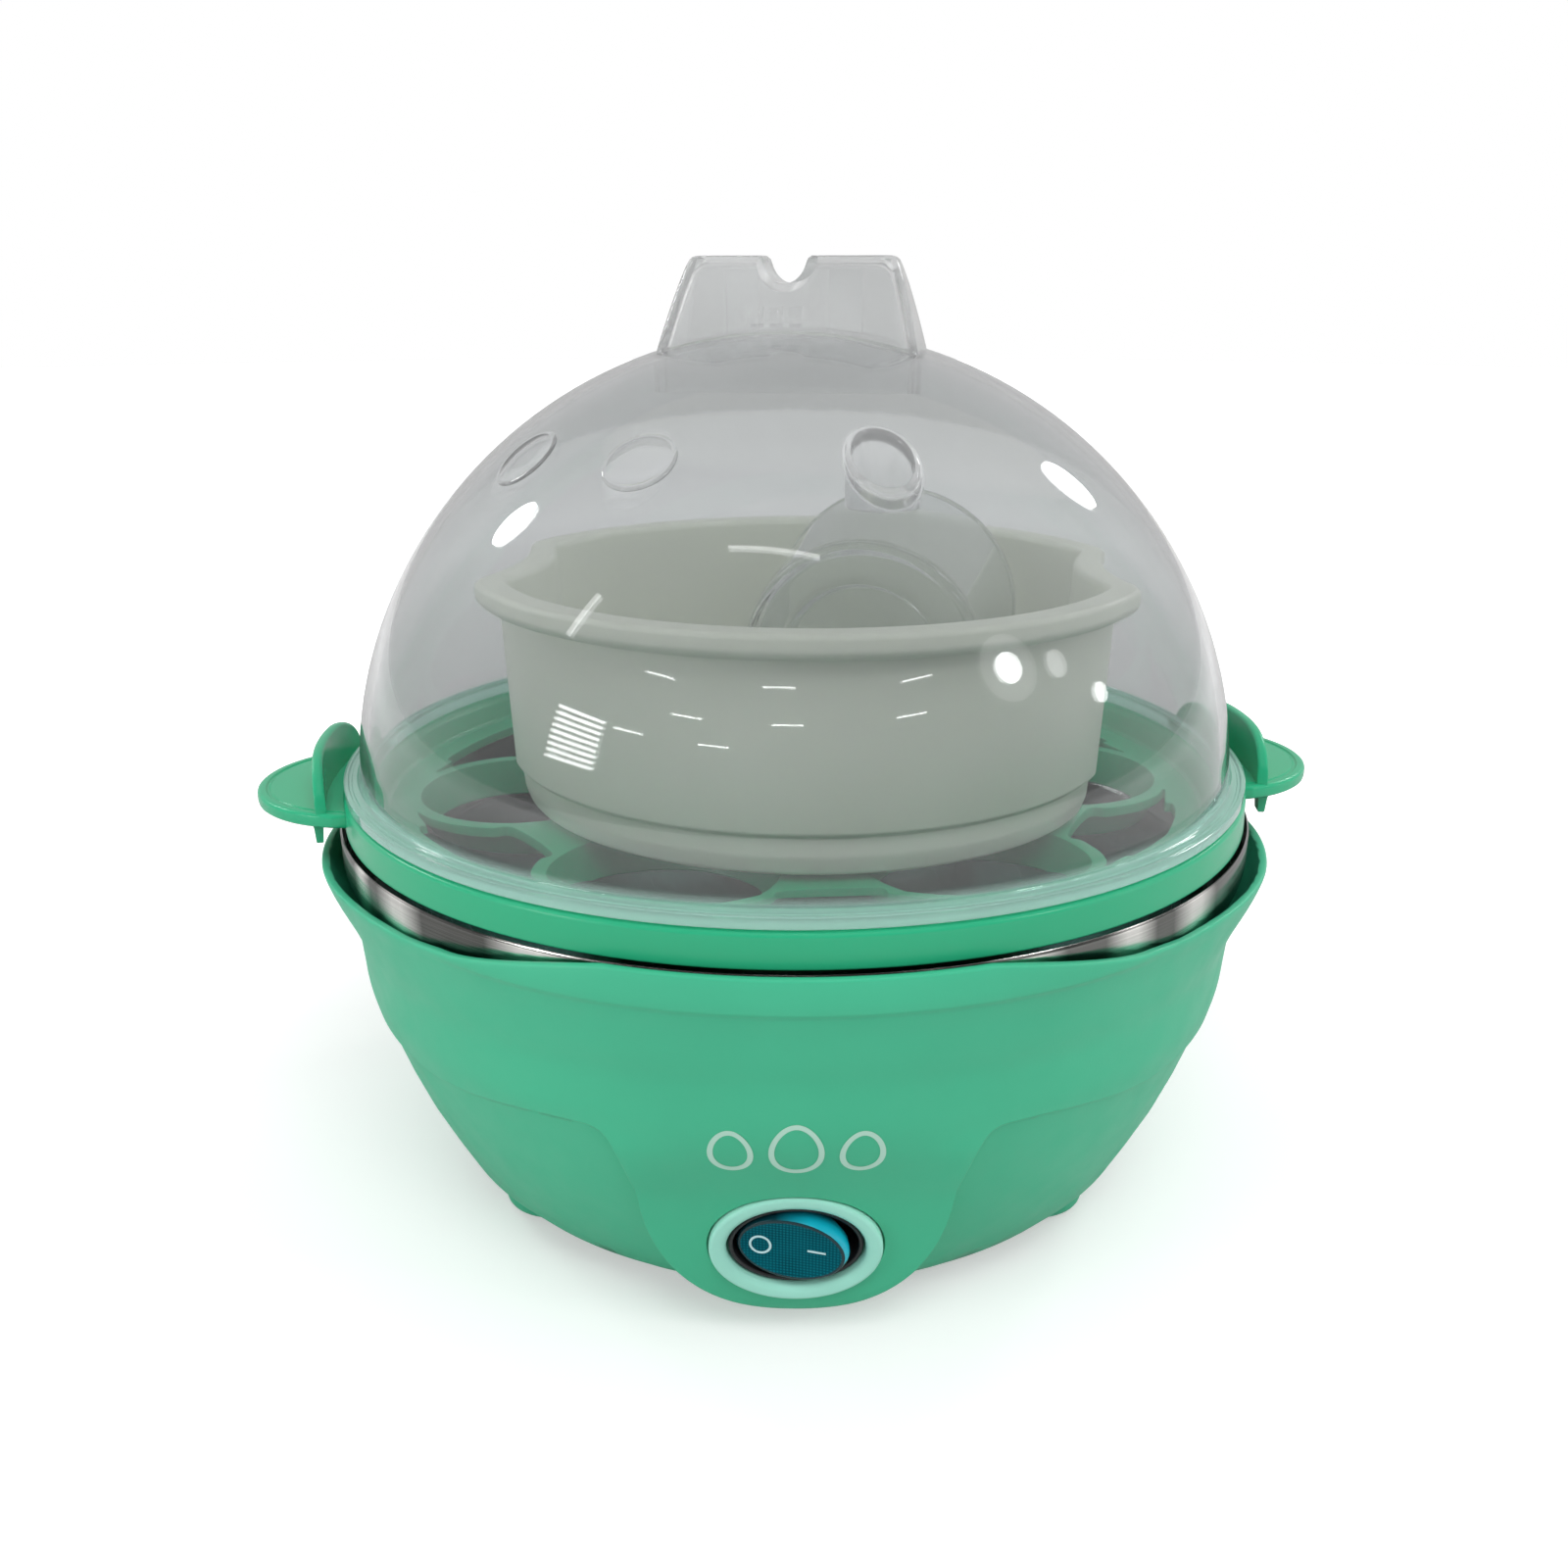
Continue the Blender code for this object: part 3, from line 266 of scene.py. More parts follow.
def circle(radius, z, segments, centre=(0.0, 0.0)):
    if radius < 1e-6:
        return [Vector((centre[0], centre[1], z))]
    points = []
    for i in range(segments):
        x, y = polar(radius, 360.0 * i / segments)
        points.append(Vector((centre[0] + x, centre[1] + y, z)))
    return points


def oval(half_width, half_height, depth):
    turns = [math.tau * i / OVAL_SIDES for i in range(OVAL_SIDES)]
    return [Vector((half_width * math.cos(a), half_height * math.sin(a), depth)) for a in turns]


def ovals(half, *levels):
    """Ovals drawn in from the given half sizes, one for each (inset, depth)."""
    return [oval(half[0] - inset, half[1] - inset, depth) for inset, depth in levels]


def box_loop(x0, x1, y0, y1, z):
    return [Vector((x0, y0, z)), Vector((x1, y0, z)), Vector((x1, y1, z)), Vector((x0, y1, z))]


def bridge(bm, first, second):
    count = max(len(first), len(second))
    for i in range(count):
        j = (i + 1) % count
        if len(first) == 1:
            bm.faces.new((first[0], second[j], second[i]))
        elif len(second) == 1:
            bm.faces.new((first[i], first[j], second[0]))
        else:
            bm.faces.new((first[i], first[j], second[j], second[i]))


def skin(bm, rows):
    """Faces between neighbouring rows of points; gives back the rows of vertices."""
    loops = [[bm.verts.new(p) for p in row] for row in rows]
    for first, second in zip(loops, loops[1:]):
        bridge(bm, first, second)
    return loops


def loft(bm, rows, ring=False, place=None):
    """A closed body through rows of points, capped at both ends or joined into a ring."""
    if place is not None:
        rows = [[place @ p for p in row] for row in rows]
    loops = skin(bm, rows)
    if ring:
        bridge(bm, loops[-1], loops[0])
        return
    if len(loops[0]) > 1:
        bm.faces.new(list(reversed(loops[0])))
    if len(loops[-1]) > 1:
        bm.faces.new(loops[-1])


def turned(bm, profile, segments, centre=(0.0, 0.0), ring=False):
    """The (r, z) profile spun round an upright axis."""
    loft(bm, [circle(r, z, segments, centre) for r, z in profile], ring)


def tube(bm, path, radius, sides=8):
    """A round tube along a path of points, with flat ends."""
    rows = []
    normal = None
    for i, p in enumerate(path):
        ahead = (path[min(i + 1, len(path) - 1)] - path[max(i - 1, 0)]).normalized()
        if normal is None:
            normal = ahead.orthogonal().normalized()
        normal = (normal - ahead * normal.dot(ahead)).normalized()
        side = ahead.cross(normal)
        row = []
        for k in range(sides):
            a = math.tau * k / sides
            row.append(p + (normal * math.cos(a) + side * math.sin(a)) * radius)
        rows.append(row)
    loft(bm, rows)


def new_object(name, bm, place=None):
    """Turns a bmesh in millimetres into an object in metres."""
    if place is not None:
        bmesh.ops.transform(bm, matrix=place, verts=bm.verts)
    bmesh.ops.scale(bm, vec=(MM, MM, MM), verts=bm.verts)
    bmesh.ops.recalc_face_normals(bm, faces=bm.faces)
    mesh = bpy.data.meshes.new(name)
    bm.to_mesh(mesh)
    bm.free()
    obj = bpy.data.objects.new(name, mesh)
    bpy.context.scene.collection.objects.link(obj)
    return obj


def lofted(name, rows, place=None, ring=False):
    bm = bmesh.new()
    loft(bm, rows, ring)
    return new_object(name, bm, place)


def spun(name, profile, segments, place=None, ring=False):
    bm = bmesh.new()
    turned(bm, profile, segments, ring=ring)
    return new_object(name, bm, place)


def boolean(target, operand, operation):
    mod = target.modifiers.new(operation.title(), "BOOLEAN")
    mod.operation = operation
    mod.solver = "EXACT"
    mod.object = operand


def combine(target, *steps, shading=None):
    """Applies Booleans in turn; each step is an operand and its operation.

    With shading, the cut mesh keeps that object's smooth normals instead of its own.
    """
    for operand, operation in steps:
        boolean(target, operand, operation)
    if shading is not None:
        keep = target.modifiers.new("Shading", "DATA_TRANSFER")
        keep.object = shading
        keep.use_loop_data = True
        keep.data_types_loops = {"CUSTOM_NORMAL"}
        keep.loop_mapping = "POLYINTERP_NEAREST"
    graph = bpy.context.evaluated_depsgraph_get()
    old = target.data
    target.data = bpy.data.meshes.new_from_object(target.evaluated_get(graph))
    target.data.name = target.name
    target.modifiers.clear()
    bpy.data.meshes.remove(old)
    for operand in [step[0] for step in steps] + ([shading] if shading else []):
        bpy.data.objects.remove(operand, do_unlink=True)
    return target


def smooth_shaded(mesh, sharp):
    mesh.shade_smooth()
    mesh.set_sharp_from_angle(angle=math.radians(sharp))


def piece(obj, body, slot, *nodes, mat=None, sharp=SHARP):
    """Finishes a mesh: material, shading, the body it rides on and the nodes it stands for."""
    obj.data.materials.clear()
    obj.data.materials.append(mat or LOOKS[slot])
    if sharp is not None:
        smooth_shaded(obj.data, sharp)
        obj.modifiers.new("Even", "WEIGHTED_NORMAL").keep_sharp = True
    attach(obj, body)
    if nodes:
        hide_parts(*nodes)


# ---- materials -------------------------------------------------------------

def fill(node, values):
    """Sets a node's inputs by name; an underscore in a key stands for a space."""
    for key, value in values.items():
        node.inputs[key.replace("_", " ")].default_value = value


class Finish:
    """A procedural material being put together around one Principled shader."""

    def __init__(self, name):
        self.mat = bpy.data.materials.new(name)
        self.mat.use_nodes = True
        self.tree = self.mat.node_tree
        self.shader = self.tree.nodes["Principled BSDF"]
        self.place = self.node("TexCoord").outputs["Object"]

    def set(self, **values):
        fill(self.shader, values)

    def link(self, source, target):
        self.tree.links.new(source, target)

    def node(self, kind, **values):
        made = self.tree.nodes.new("ShaderNode" + kind)
        fill(made, values)
        return made

    def axes(self):
        """The x, y and z of the shaded point, in metres."""
        parts = self.node("SeparateXYZ")
        self.link(self.place, parts.inputs[0])
        return parts.outputs

    def noise(self, scale, detail, place=None):
        node = self.node("TexNoise", Scale=scale, Detail=detail)
        self.link(place or self.place, node.inputs["Vector"])
        return node.outputs["Fac"]

    def spread(self, source, low, high, start=0.3, end=0.7):
        """The source's range from start to end laid out from low to high, and held beyond."""
        node = self.node("MapRange", From_Min=start, From_Max=end, To_Min=low, To_Max=high)
        self.link(source, node.inputs["Value"])
        return node.outputs["Result"]

    def mix(self, factor, first, second):
        node = self.node("Mix")
        node.data_type = "RGBA"
        self.link(factor, node.inputs["Factor"])
        for socket, value in ((node.inputs[6], first), (node.inputs[7], second)):
            if isinstance(value, tuple):
                socket.default_value = (*value, 1.0)
            else:
                self.link(value, socket)
        return node.outputs[2]

    def math(self, kind, *values):
        node = self.node("Math")
        node.operation = kind
        for socket, value in zip(node.inputs, values):
            if isinstance(value, (int, float)):
                socket.default_value = value
            else:
                self.link(value, socket)
        return node.outputs[0]

    def times(self, first, second):
        return self.math("MULTIPLY", first, second)

    def distance(self, x, y):
        return self.math("SQRT", self.math("ADD", self.times(x, x), self.times(y, y)))

    def bump(self, height, depth, strength, below=None):
        node = self.node("Bump", Strength=strength, Distance=depth)
        self.link(height, node.inputs["Height"])
        if below is not None:
            self.link(below, node.inputs["Normal"])
        return node.outputs["Normal"]

    def colour(self, source):
        self.link(source, self.shader.inputs["Base Color"])

    def rough(self, source):
        self.link(source, self.shader.inputs["Roughness"])

    def normal(self, source):
        self.link(source, self.shader.inputs["Normal"])


def shade(colour, amount):
    return tuple(clamp(c * amount) for c in colour)


def moulded(name, colour, roughness, swing=0.05, grain=2600.0, depth=0.00004, waves=0.12,
            uneven=0.055):
    """Injection-moulded plastic: faint flow marks, uneven gloss and a fine spark grain.

    swing and uneven are the play of tint and gloss, grain and depth the spark texture, and
    waves the gentle ripple of the wall.
    """
    f = Finish(name)
    f.colour(f.mix(f.spread(f.noise(22.0, 4.0), 0.0, 1.0), shade(colour, 1.0 - swing),
                   shade(colour, 1.0 + swing)))
    f.rough(f.spread(f.noise(140.0, 3.0), roughness - uneven, roughness + uneven))
    swell = f.bump(f.noise(60.0, 2.0), 0.0002, waves)
    f.normal(f.bump(f.noise(grain, 2.0), depth, 0.35, swell))
    f.set(IOR=PLASTIC_IOR)
    return f


def brushed_steel():
    """Spun stainless steel with fine rings round the axis. Its colour is painted reflection: dark
    for the dim room it mirrors, green on the floor for the mint parts above, and a few painted
    glints on the wall.
    """
    f = Finish("spun_steel")
    x, y, z = f.axes()
    radius = f.distance(x, y)
    across = f.times(f.math("ADD", radius, z), 5200.0)
    rings = f.node("CombineXYZ")
    f.link(f.times(x, 16.0), rings.inputs[0])
    f.link(f.times(y, 16.0), rings.inputs[1])
    f.link(across, rings.inputs[2])
    lines = f.noise(1.0, 4.0, rings.outputs[0])
    turn = f.math("ARCTAN2", x, f.times(y, -1.0))
    turn = f.math("ADD", turn, f.times(z, 1.2))
    # Painted glints: narrow bright bands round the wall that stand in for reflected lamps.
    glint = None
    for angle, width in PAINTED_GLINTS:
        off = f.math("ABSOLUTE", f.math("SUBTRACT", turn, math.radians(angle)))
        one = f.spread(off, 1.0, 0.0, 0.2 * math.radians(width), math.radians(width))
        glint = one if glint is None else f.math("MAXIMUM", glint, one)
    glint = f.times(glint, f.spread(lines, 0.55, 1.0))
    wall = f.spread(radius, 0.0, 1.0, *STEEL_WALL)
    glint = f.times(glint, wall)
    reflection_mottle = f.noise(34.0, 3.0)
    # Painted reflection: the dark, mottled base colour stands in for the dim room mirrored in the
    # steel.
    dark = f.mix(f.spread(reflection_mottle, 0.0, 1.0), (0.062, 0.062, 0.058), (0.19, 0.19, 0.18))
    dark = f.mix(f.spread(lines, 0.0, 0.5), dark, (0.28, 0.28, 0.27))
    # Painted reflection: the pan's floor is tinted green for the mint parts mirrored in it.
    floor = f.mix(f.spread(reflection_mottle, 0.0, 1.0), (0.030, 0.125, 0.115), (0.060, 0.185, 0.170))
    dark = f.mix(wall, floor, dark)
    f.colour(f.mix(glint, dark, (0.97, 0.96, 0.92)))
    f.rough(f.spread(lines, 0.14, 0.28))
    f.normal(f.bump(lines, 0.00002, 0.4))
    tangent = f.node("Tangent")
    tangent.direction_type = "RADIAL"
    tangent.axis = "Z"
    f.link(tangent.outputs[0], f.shader.inputs["Tangent"])
    f.set(Metallic=1.0, Anisotropic=0.7)
    return f.mat


def plain_metal(name, colour, roughness):
    """Cast, drawn or plated metal with a dull, speckled face."""
    f = Finish(name)
    f.colour(f.mix(f.spread(f.noise(90.0, 4.0), 0.0, 1.0), shade(colour, 0.8), shade(colour, 1.1)))
    f.rough(f.spread(f.noise(300.0, 3.0), roughness - 0.08, roughness + 0.1))
    f.normal(f.bump(f.noise(900.0, 2.0), 0.00005, 0.3))
    f.set(Metallic=1.0)
    return f.mat


def see_through(name, colour, roughness, haze, foot_haze=None, shadow=1.0):
    """Clear plastic with real walls. Lamps shine through it, so what is inside is lit.

    The haze is the share that scatters. With foot_haze, the foot of the lid is milkier than
    the rest, and its vent and raised ovals are frosted.
    """
    f = Finish(name)
    tint = f.mix(f.spread(f.noise(9.0, 3.0), 0.0, 1.0), shade(colour, 0.98), shade(colour, 1.02))
    cloud = f.spread(f.noise(45.0, 4.0), 1.0 - haze * 0.75, 1.0 - haze * 1.25)
    if foot_haze is not None:
        x, y, z = f.axes()
        rise = f.spread(z, 0.0, 1.0, HAZE_Z[0] * MM, HAZE_Z[1] * MM)
        tint = f.mix(rise, FOOT_TINT, tint)
        cloud = f.math("MINIMUM", cloud, f.spread(rise, 1.0 - foot_haze, 1.0, 0.0, 1.0))
        frosted = [(*VENT_AT, VENT_R + 0.2, 0.34)]
        frosted += [(px, py, wide - 0.9, 0.13) for px, py, wide, _ in PADS]
        for px, py, reach, milk in frosted:
            dx = f.math("SUBTRACT", x, px * MM)
            dy = f.math("SUBTRACT", y, py * MM)
            spot = f.spread(f.distance(dx, dy), 1.0 - milk, 1.0, reach * MM, (reach + 0.5) * MM)
            cloud = f.math("MINIMUM", cloud, spot)
    f.colour(tint)
    f.rough(f.spread(f.noise(200.0, 4.0), roughness, roughness + 0.008))
    f.normal(f.bump(f.noise(26.0, 1.0), 0.0004, 0.012))
    f.link(cloud, f.shader.inputs["Transmission Weight"])
    f.set(IOR=PLASTIC_IOR)
    rays = f.node("LightPath").outputs["Is Shadow Ray"]
    through = f.node("BsdfTransparent")
    through.inputs[0].default_value = (shadow, shadow, shadow, 1.0)
    both = f.node("MixShader")
    f.link(rays, both.inputs[0])
    f.link(f.shader.outputs[0], both.inputs[1])
    f.link(through.outputs[0], both.inputs[2])
    f.link(both.outputs[0], f.tree.nodes["Material Output"].inputs["Surface"])
    return f.mat


def lens_plastic():
    """The rocker's tinted face: a fine grid of lens dots under a glossy skin."""
    f = Finish("teal_lens")
    x, _, z = f.axes()
    pitch = math.pi / LENS_PITCH
    dots = f.math("ABSOLUTE", f.times(f.math("SINE", f.times(x, pitch)),
                                      f.math("SINE", f.times(z, pitch))))
    glow = f.noise(110.0, 2.0)
    base = f.mix(f.spread(glow, 0.0, 1.0), (0.0015, 0.060, 0.082), (0.002, 0.095, 0.125))
    f.colour(f.mix(f.spread(dots, 0.0, 0.8, 0.2, 1.0), base, (0.004, 0.19, 0.25)))
    f.rough(f.spread(dots, 0.16, 0.34, -1.0, 1.0))
    f.normal(f.bump(dots, 0.00008, 0.5))
    f.set(IOR=1.45, Specular_IOR_Level=0.02)
    return f.mat


def milky_plastic():
    """The bowl's white plastic, which lets a little light through."""
    f = moulded("milky_plastic", (0.67, 0.71, 0.63), 0.34, swing=0.03, grain=1700.0, depth=0.00003)
    f.set(Subsurface_Weight=0.25, Subsurface_Scale=0.004)
    f.shader.inputs["Subsurface Radius"].default_value = (1.0, 1.0, 0.9)
    return f.mat


MINT = (0.048, 0.475, 0.268)
GLOSS_MINT = (0.022, 0.425, 0.212)
PALE_MINT = (0.36, 0.78, 0.65)

LOOKS = {
    "mint": moulded("satin_mint", MINT, 0.42).mat,
    "gloss_mint": moulded("gloss_mint", GLOSS_MINT, 0.26, swing=0.02, depth=0.000004,
                          waves=0.01, uneven=0.01).mat,
    "pale_mint": moulded("pale_mint", PALE_MINT, 0.34, depth=0.00002).mat,
    "steel": brushed_steel(),
    "zinc": plain_metal("zinc_plate", (0.58, 0.58, 0.60), 0.34),
    "aluminium": plain_metal("heater_sheath", (0.62, 0.63, 0.64), 0.5),
    "ceramic": moulded("ceramic", (0.80, 0.76, 0.68), 0.55, depth=0.00008).mat,
    "black": moulded("black_plastic", (0.018, 0.018, 0.02), 0.42, swing=0.2).mat,
    "teal": lens_plastic(),
    "lamp": see_through("lamp_glass", (0.95, 0.80, 0.65), 0.05, 0.05),
    "brass": plain_metal("brass", (0.78, 0.58, 0.28), 0.32),
    "brown": moulded("brown_insulation", (0.12, 0.045, 0.02), 0.45, swing=0.15).mat,
    "blue": moulded("blue_insulation", (0.02, 0.05, 0.32), 0.45, swing=0.15).mat,
    "green": moulded("green_insulation", (0.06, 0.28, 0.05), 0.45, swing=0.15).mat,
    "milky": milky_plastic(),
    "clear": see_through("clear_plastic", (0.772, 0.785, 0.790), 0.02, 0.040, 0.36, 0.84),
    "rubber": moulded("rubber", (0.05, 0.055, 0.055), 0.75, swing=0.25, grain=900.0,
                      depth=0.0001).mat,
}
CUP_CLEAR = see_through("cup_plastic", (0.84, 0.87, 0.86), 0.04, 0.09, shadow=0.9)
GRIP_CLEAR = see_through("grip_plastic", (0.80, 0.81, 0.81), 0.08, 0.22)
PRINT_WHITE = moulded("print_ink", (0.46, 0.72, 0.60), 0.5, swing=0.04, grain=3500.0).mat
MARK_PALE = moulded("mark_ink", (0.55, 0.78, 0.82), 0.4, swing=0.05).mat


def dress_frame():
    """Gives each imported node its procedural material, for those that stay in view."""
    for row in frame["record"]["subparts"]:
        node = frame["nodes"][row["node"]]
        node.data.materials.clear()
        node.data.materials.append(LOOKS[row["material_slot"]])


# ---- housing ---------------------------------------------------------------

def side_angle(angle):
    a = abs(angle)
    return min(a, 180.0 - a)


def ear_amount(angle):
    t = side_angle(angle)
    return smooth((t - 44.0) / 30.0) + 0.12 * clamp((t - 74.0) / 16.0)


def rim_height(angle):
    """Level at front and back, then a straight slope to a kink, then a shallow dip at the ears."""
    t = side_angle(angle)
    slope = clamp((t - SLOPE_ANGLE) / (KINK_ANGLE - SLOPE_ANGLE))
    height = RIM_FRONT + (RIM_KINK - RIM_FRONT) * (0.75 * slope + 0.25 * smooth(slope))
    beyond = smooth((t - KINK_ANGLE) / 9.0)
    return height + (RIM_SIDE - RIM_KINK) * beyond - RIM_DIP * clamp((t - 45.0) / 45.0) ** 2


def step_line():
    """Half of the line that runs round the housing and down round the apron: (angle, height)."""
    path = []
    for k in range(81):
        t = math.pi / 2.0 * k / 80.0
        across = math.sin(t) ** (2.0 / APRON_POWER)
        drop = max(math.cos(t), 0.0) ** (2.0 / APRON_POWER)
        angle = math.degrees(math.asin(across * math.sin(math.radians(APRON_ANGLE))))
        path.append((angle, APRON_TOP - APRON_DEPTH * drop))
    for k in range(1, 31):
        t = k / 30.0
        path.append((APRON_ANGLE + (SHOULDER_ANGLE - APRON_ANGLE) * t,
                     APRON_TOP + (SHOULDER_Z - APRON_TOP) * (1.0 - (1.0 - t) ** 4)))
    for k in range(1, 156):
        angle = SHOULDER_ANGLE + (180.0 - SHOULDER_ANGLE) * k / 155.0
        fall = smooth((angle - SHOULDER_ANGLE) / 25.0)
        path.append((angle, SHOULDER_Z + (STEP_Z - SHOULDER_Z) * fall))
    return path


def spaced_line():
    """The step line at even steps, closer together round the apron: (length, angle, height)."""
    path = step_line()
    points = [(0.0, *path[0])]
    run = 0.0
    goal = 0.8
    for (a0, z0), (a1, z1) in zip(path, path[1:]):
        piece_length = math.hypot(math.radians(a1 - a0) * 77.0, z1 - z0)
        while goal <= run + piece_length:
            t = (goal - run) / piece_length
            angle = a0 + (a1 - a0) * t
            points.append((goal, angle, z0 + (z1 - z0) * t))
            goal += 0.8 if angle < 27.0 else 1.9
        run += piece_length
    if points[-1][1] > 179.2:
        points.pop()
    points.append((run, *path[-1]))
    return points


def wall_radius(angle, z):
    return curve(UPPER_WALL, z) + EAR_FLARE * ear_amount(angle) * smooth((z - 53.0) / 9.0)


def upper_radius(angle, z):
    """Outer radius of the upper wall and of the apron that hangs from it."""
    wall = wall_radius(angle, z)
    if z >= 47.0 or abs(angle) > 30.0:
        return wall
    across = min(1.0, abs(angle) / APRON_ANGLE)
    face = curve(APRON_FACE, z) * (1.0 + 0.030 * across * across * smooth((44.0 - z) / 13.0))
    face += (wall - face) * smooth((z - 38.0) / 9.0)
    return face + (wall - face) * smooth((abs(angle) - 20.0) / 8.0)


def collar_amount(angle, z):
    """The thickened band below the lip, which fades out towards the ears."""
    share = 1.0 - smooth((side_angle(angle) - 34.0) / 12.0)
    return COLLAR_STEP * share * smooth((z - COLLAR_LINE + 0.7) / 1.5)


def inner_wall(z):
    return curve(LOWER_WALL, min(z, 41.0)) - WALL + 0.12 * max(0.0, z - 41.0)


UP_TURN = ((0.0, 0.0), (23.0, 9.0), (44.0, 17.0), (56.0, 24.5), (68.0, 33.0))


def housing_column(length, angle, edge):
    """Points of one section of the housing, from the base up and back down inside."""
    high = table(UP_TURN, length) if length < 68.0 else angle
    if length < 68.0:
        high += (angle - high) * smooth((length - 50.0) / 18.0)
    low = angle + 5.0 * smooth((length - 14.0) / 22.0) * (1.0 - smooth((length - 48.0) / 34.0))
    points = []
    under = edge - BASE_Z
    for share in (0.0, 0.12, 0.3, 0.5, 0.7, 0.84, 0.93, 0.975):
        a = low + (angle - low) * share
        z = BASE_Z + under * share
        inset = 0.5 if share == 0.0 else 0.0
        points.append(around(a, curve(LOWER_WALL, z) - inset, z))
    low_r = curve(LOWER_WALL, edge)
    high_r = upper_radius(angle, edge)
    fillet = clamp((high_r - low_r) * 0.5, 0.15, 0.6)
    points.append(around(angle, low_r, edge))
    span = math.hypot(math.radians(high - angle) * 78.0, TURN_Z - edge)
    steps = [0.0, 0.08, 0.2, 0.38, 0.6, 0.9, 1.5, 2.6]
    steps += [2.6 + (span - 2.6) * k / 18.0 for k in range(1, 19)]
    for run in steps:
        t = run / span
        a = angle + (high - angle) * t
        z = edge + (TURN_Z - edge) * t
        cut = fillet - math.sqrt(fillet ** 2 - (fillet - run) ** 2) if run < fillet else 0.0
        points.append(around(a, upper_radius(a, z) - cut, z))
    rim = rim_height(high)
    line = min(COLLAR_LINE, rim - 2.4)
    top = rim - 0.45
    levels = [TURN_Z + (line - 1.0 - TURN_Z) * k / 8.0 for k in range(1, 9)]
    levels += [line + off for off in (-0.7, -0.4, -0.1, 0.2, 0.5, 0.8)]
    levels += [line + 0.8 + (top - line - 0.8) * share for share in (0.35, 0.7, 1.0)]
    for z in levels:
        points.append(around(high, wall_radius(high, z) + collar_amount(high, z), z))
    lip = wall_radius(high, rim) + collar_amount(high, rim)
    for turn in (30.0, 60.0, 90.0):
        c, s = polar(1.0, turn)
        points.append(around(high, lip - 0.45 * (1.0 - c), top + 0.45 * s))
    for turn in (90.0, 45.0, 0.0):
        c, s = polar(1.0, turn)
        points.append(around(high, lip - LIP_T + 0.4 * (1.0 - c), rim - 0.4 + 0.4 * s))
    for share in (0.25, 0.5, 0.75, 1.0):
        z = rim - 0.4 + (LEDGE_Z + 0.6 - rim + 0.4) * share
        collar = collar_amount(high, rim) * (1.0 - share)
        points.append(around(high, wall_radius(high, z) + collar - LIP_T - 0.4 * share, z))
    points.append(around(high, LEDGE_R, LEDGE_Z))
    points.append(around(high, LEDGE_R, LEDGE_Z - 2.0))
    for z in (50.0, 43.0, 35.0, 28.0, 19.0, 12.0, 7.4):
        a = low + (high - low) * clamp((z - 7.4) / 36.0)
        points.append(around(a, inner_wall(z), z))
    points.append(around(low, COVER_R + 0.7, BASE_Z))
    return points


def housing_mesh():
    half = spaced_line()
    columns = [housing_column(*p) for p in half]
    columns += [[Vector((-p.x, p.y, p.z)) for p in column] for column in reversed(columns[1:-1])]
    return lofted("housing_shell", list(zip(*columns)), ring=True)


def boss_tool():
    bm = bmesh.new()
    for angle in BOSS_ANGLES:
        rows = [box_loop(52.4, 64.4, -3.6, 3.6, 7.7), box_loop(52.4, 70.6, -3.6, 3.6, 20.0)]
        loft(bm, rows, place=about_z(angle))
    return new_object("boss_tool", bm)


def switch_place():
    """Local frame of the switch: x across, y up the apron's face, z out of it."""
    lean = math.radians(SWITCH_LEAN)
    out = Vector((0.0, -math.cos(lean), -math.sin(lean)))
    across = Vector((1.0, 0.0, 0.0))
    turn = Matrix((across, out.cross(across), out)).transposed().to_4x4()
    return Matrix.Translation((0.0, SWITCH_Y, SWITCH_Z)) @ turn


def gland_place():
    return Matrix.Translation((0.0, 0.0, GLAND_Z)) @ Matrix.Rotation(math.radians(-90.0), 4, "X")


def housing_cuts():
    bm = bmesh.new()
    opening = (ovals(FRAME_HALF, (-0.3, -14.0), (-0.3, -1.5))
               + ovals(BEZEL_HALF, (-SEAT_GAP, -1.5), (-SEAT_GAP, 6.0)))
    loft(bm, opening, place=switch_place())
    loft(bm, [circle(5.5, z, 48) for z in (58.0, 84.0)], place=gland_place())
    for angle in BOSS_ANGLES:
        turned(bm, ((1.5, 6.0), (1.5, 17.0)), 20, polar(BOSS_R, angle))
    return new_object("housing_cuts", bm)


def make_housing():
    body = housing_mesh()
    smooth_shaded(body.data, SHARP)
    plain = bpy.data.objects.new("plain_housing", body.data.copy())
    bpy.context.scene.collection.objects.link(plain)
    combine(body, (boss_tool(), "UNION"), (housing_cuts(), "DIFFERENCE"), shading=plain)
    piece(body, "base", "mint", "housing", sharp=None)


def egg_ring(centre, half_width, half_height):
    """A plain egg outline laid on the apron: a thin raised line of ink."""
    rows = []
    for k in range(72):
        a = math.tau * k / 72
        row = []
        for side, lift in ((-0.42, 0.015), (-0.42, 0.07), (0.42, 0.07), (0.42, 0.015)):
            wide = half_width + side
            tall = half_height + side
            x = centre[0] + wide * math.cos(a) * (1.0 - 0.14 * math.sin(a))
            z = centre[1] + tall * math.sin(a)
            angle = math.degrees(math.asin(x / 78.0))
            row.append(around(angle, upper_radius(angle, z) + lift, z))
        rows.append(row)
    return rows


def make_print():
    """Three plain egg outlines on the apron: (x, z, half width, half height)."""
    eggs = ((-9.6, 39.4, 2.9, 3.7), (0.0, 39.9, 3.6, 4.6), (9.6, 39.4, 2.9, 3.7))
    for i, (x, z, w, h) in enumerate(eggs):
        ring = lofted(f"front_print_{i + 1}", egg_ring((x, z), w, h), ring=True)
        piece(ring, "base", "milky", mat=PRINT_WHITE)


# ---- base ------------------------------------------------------------------

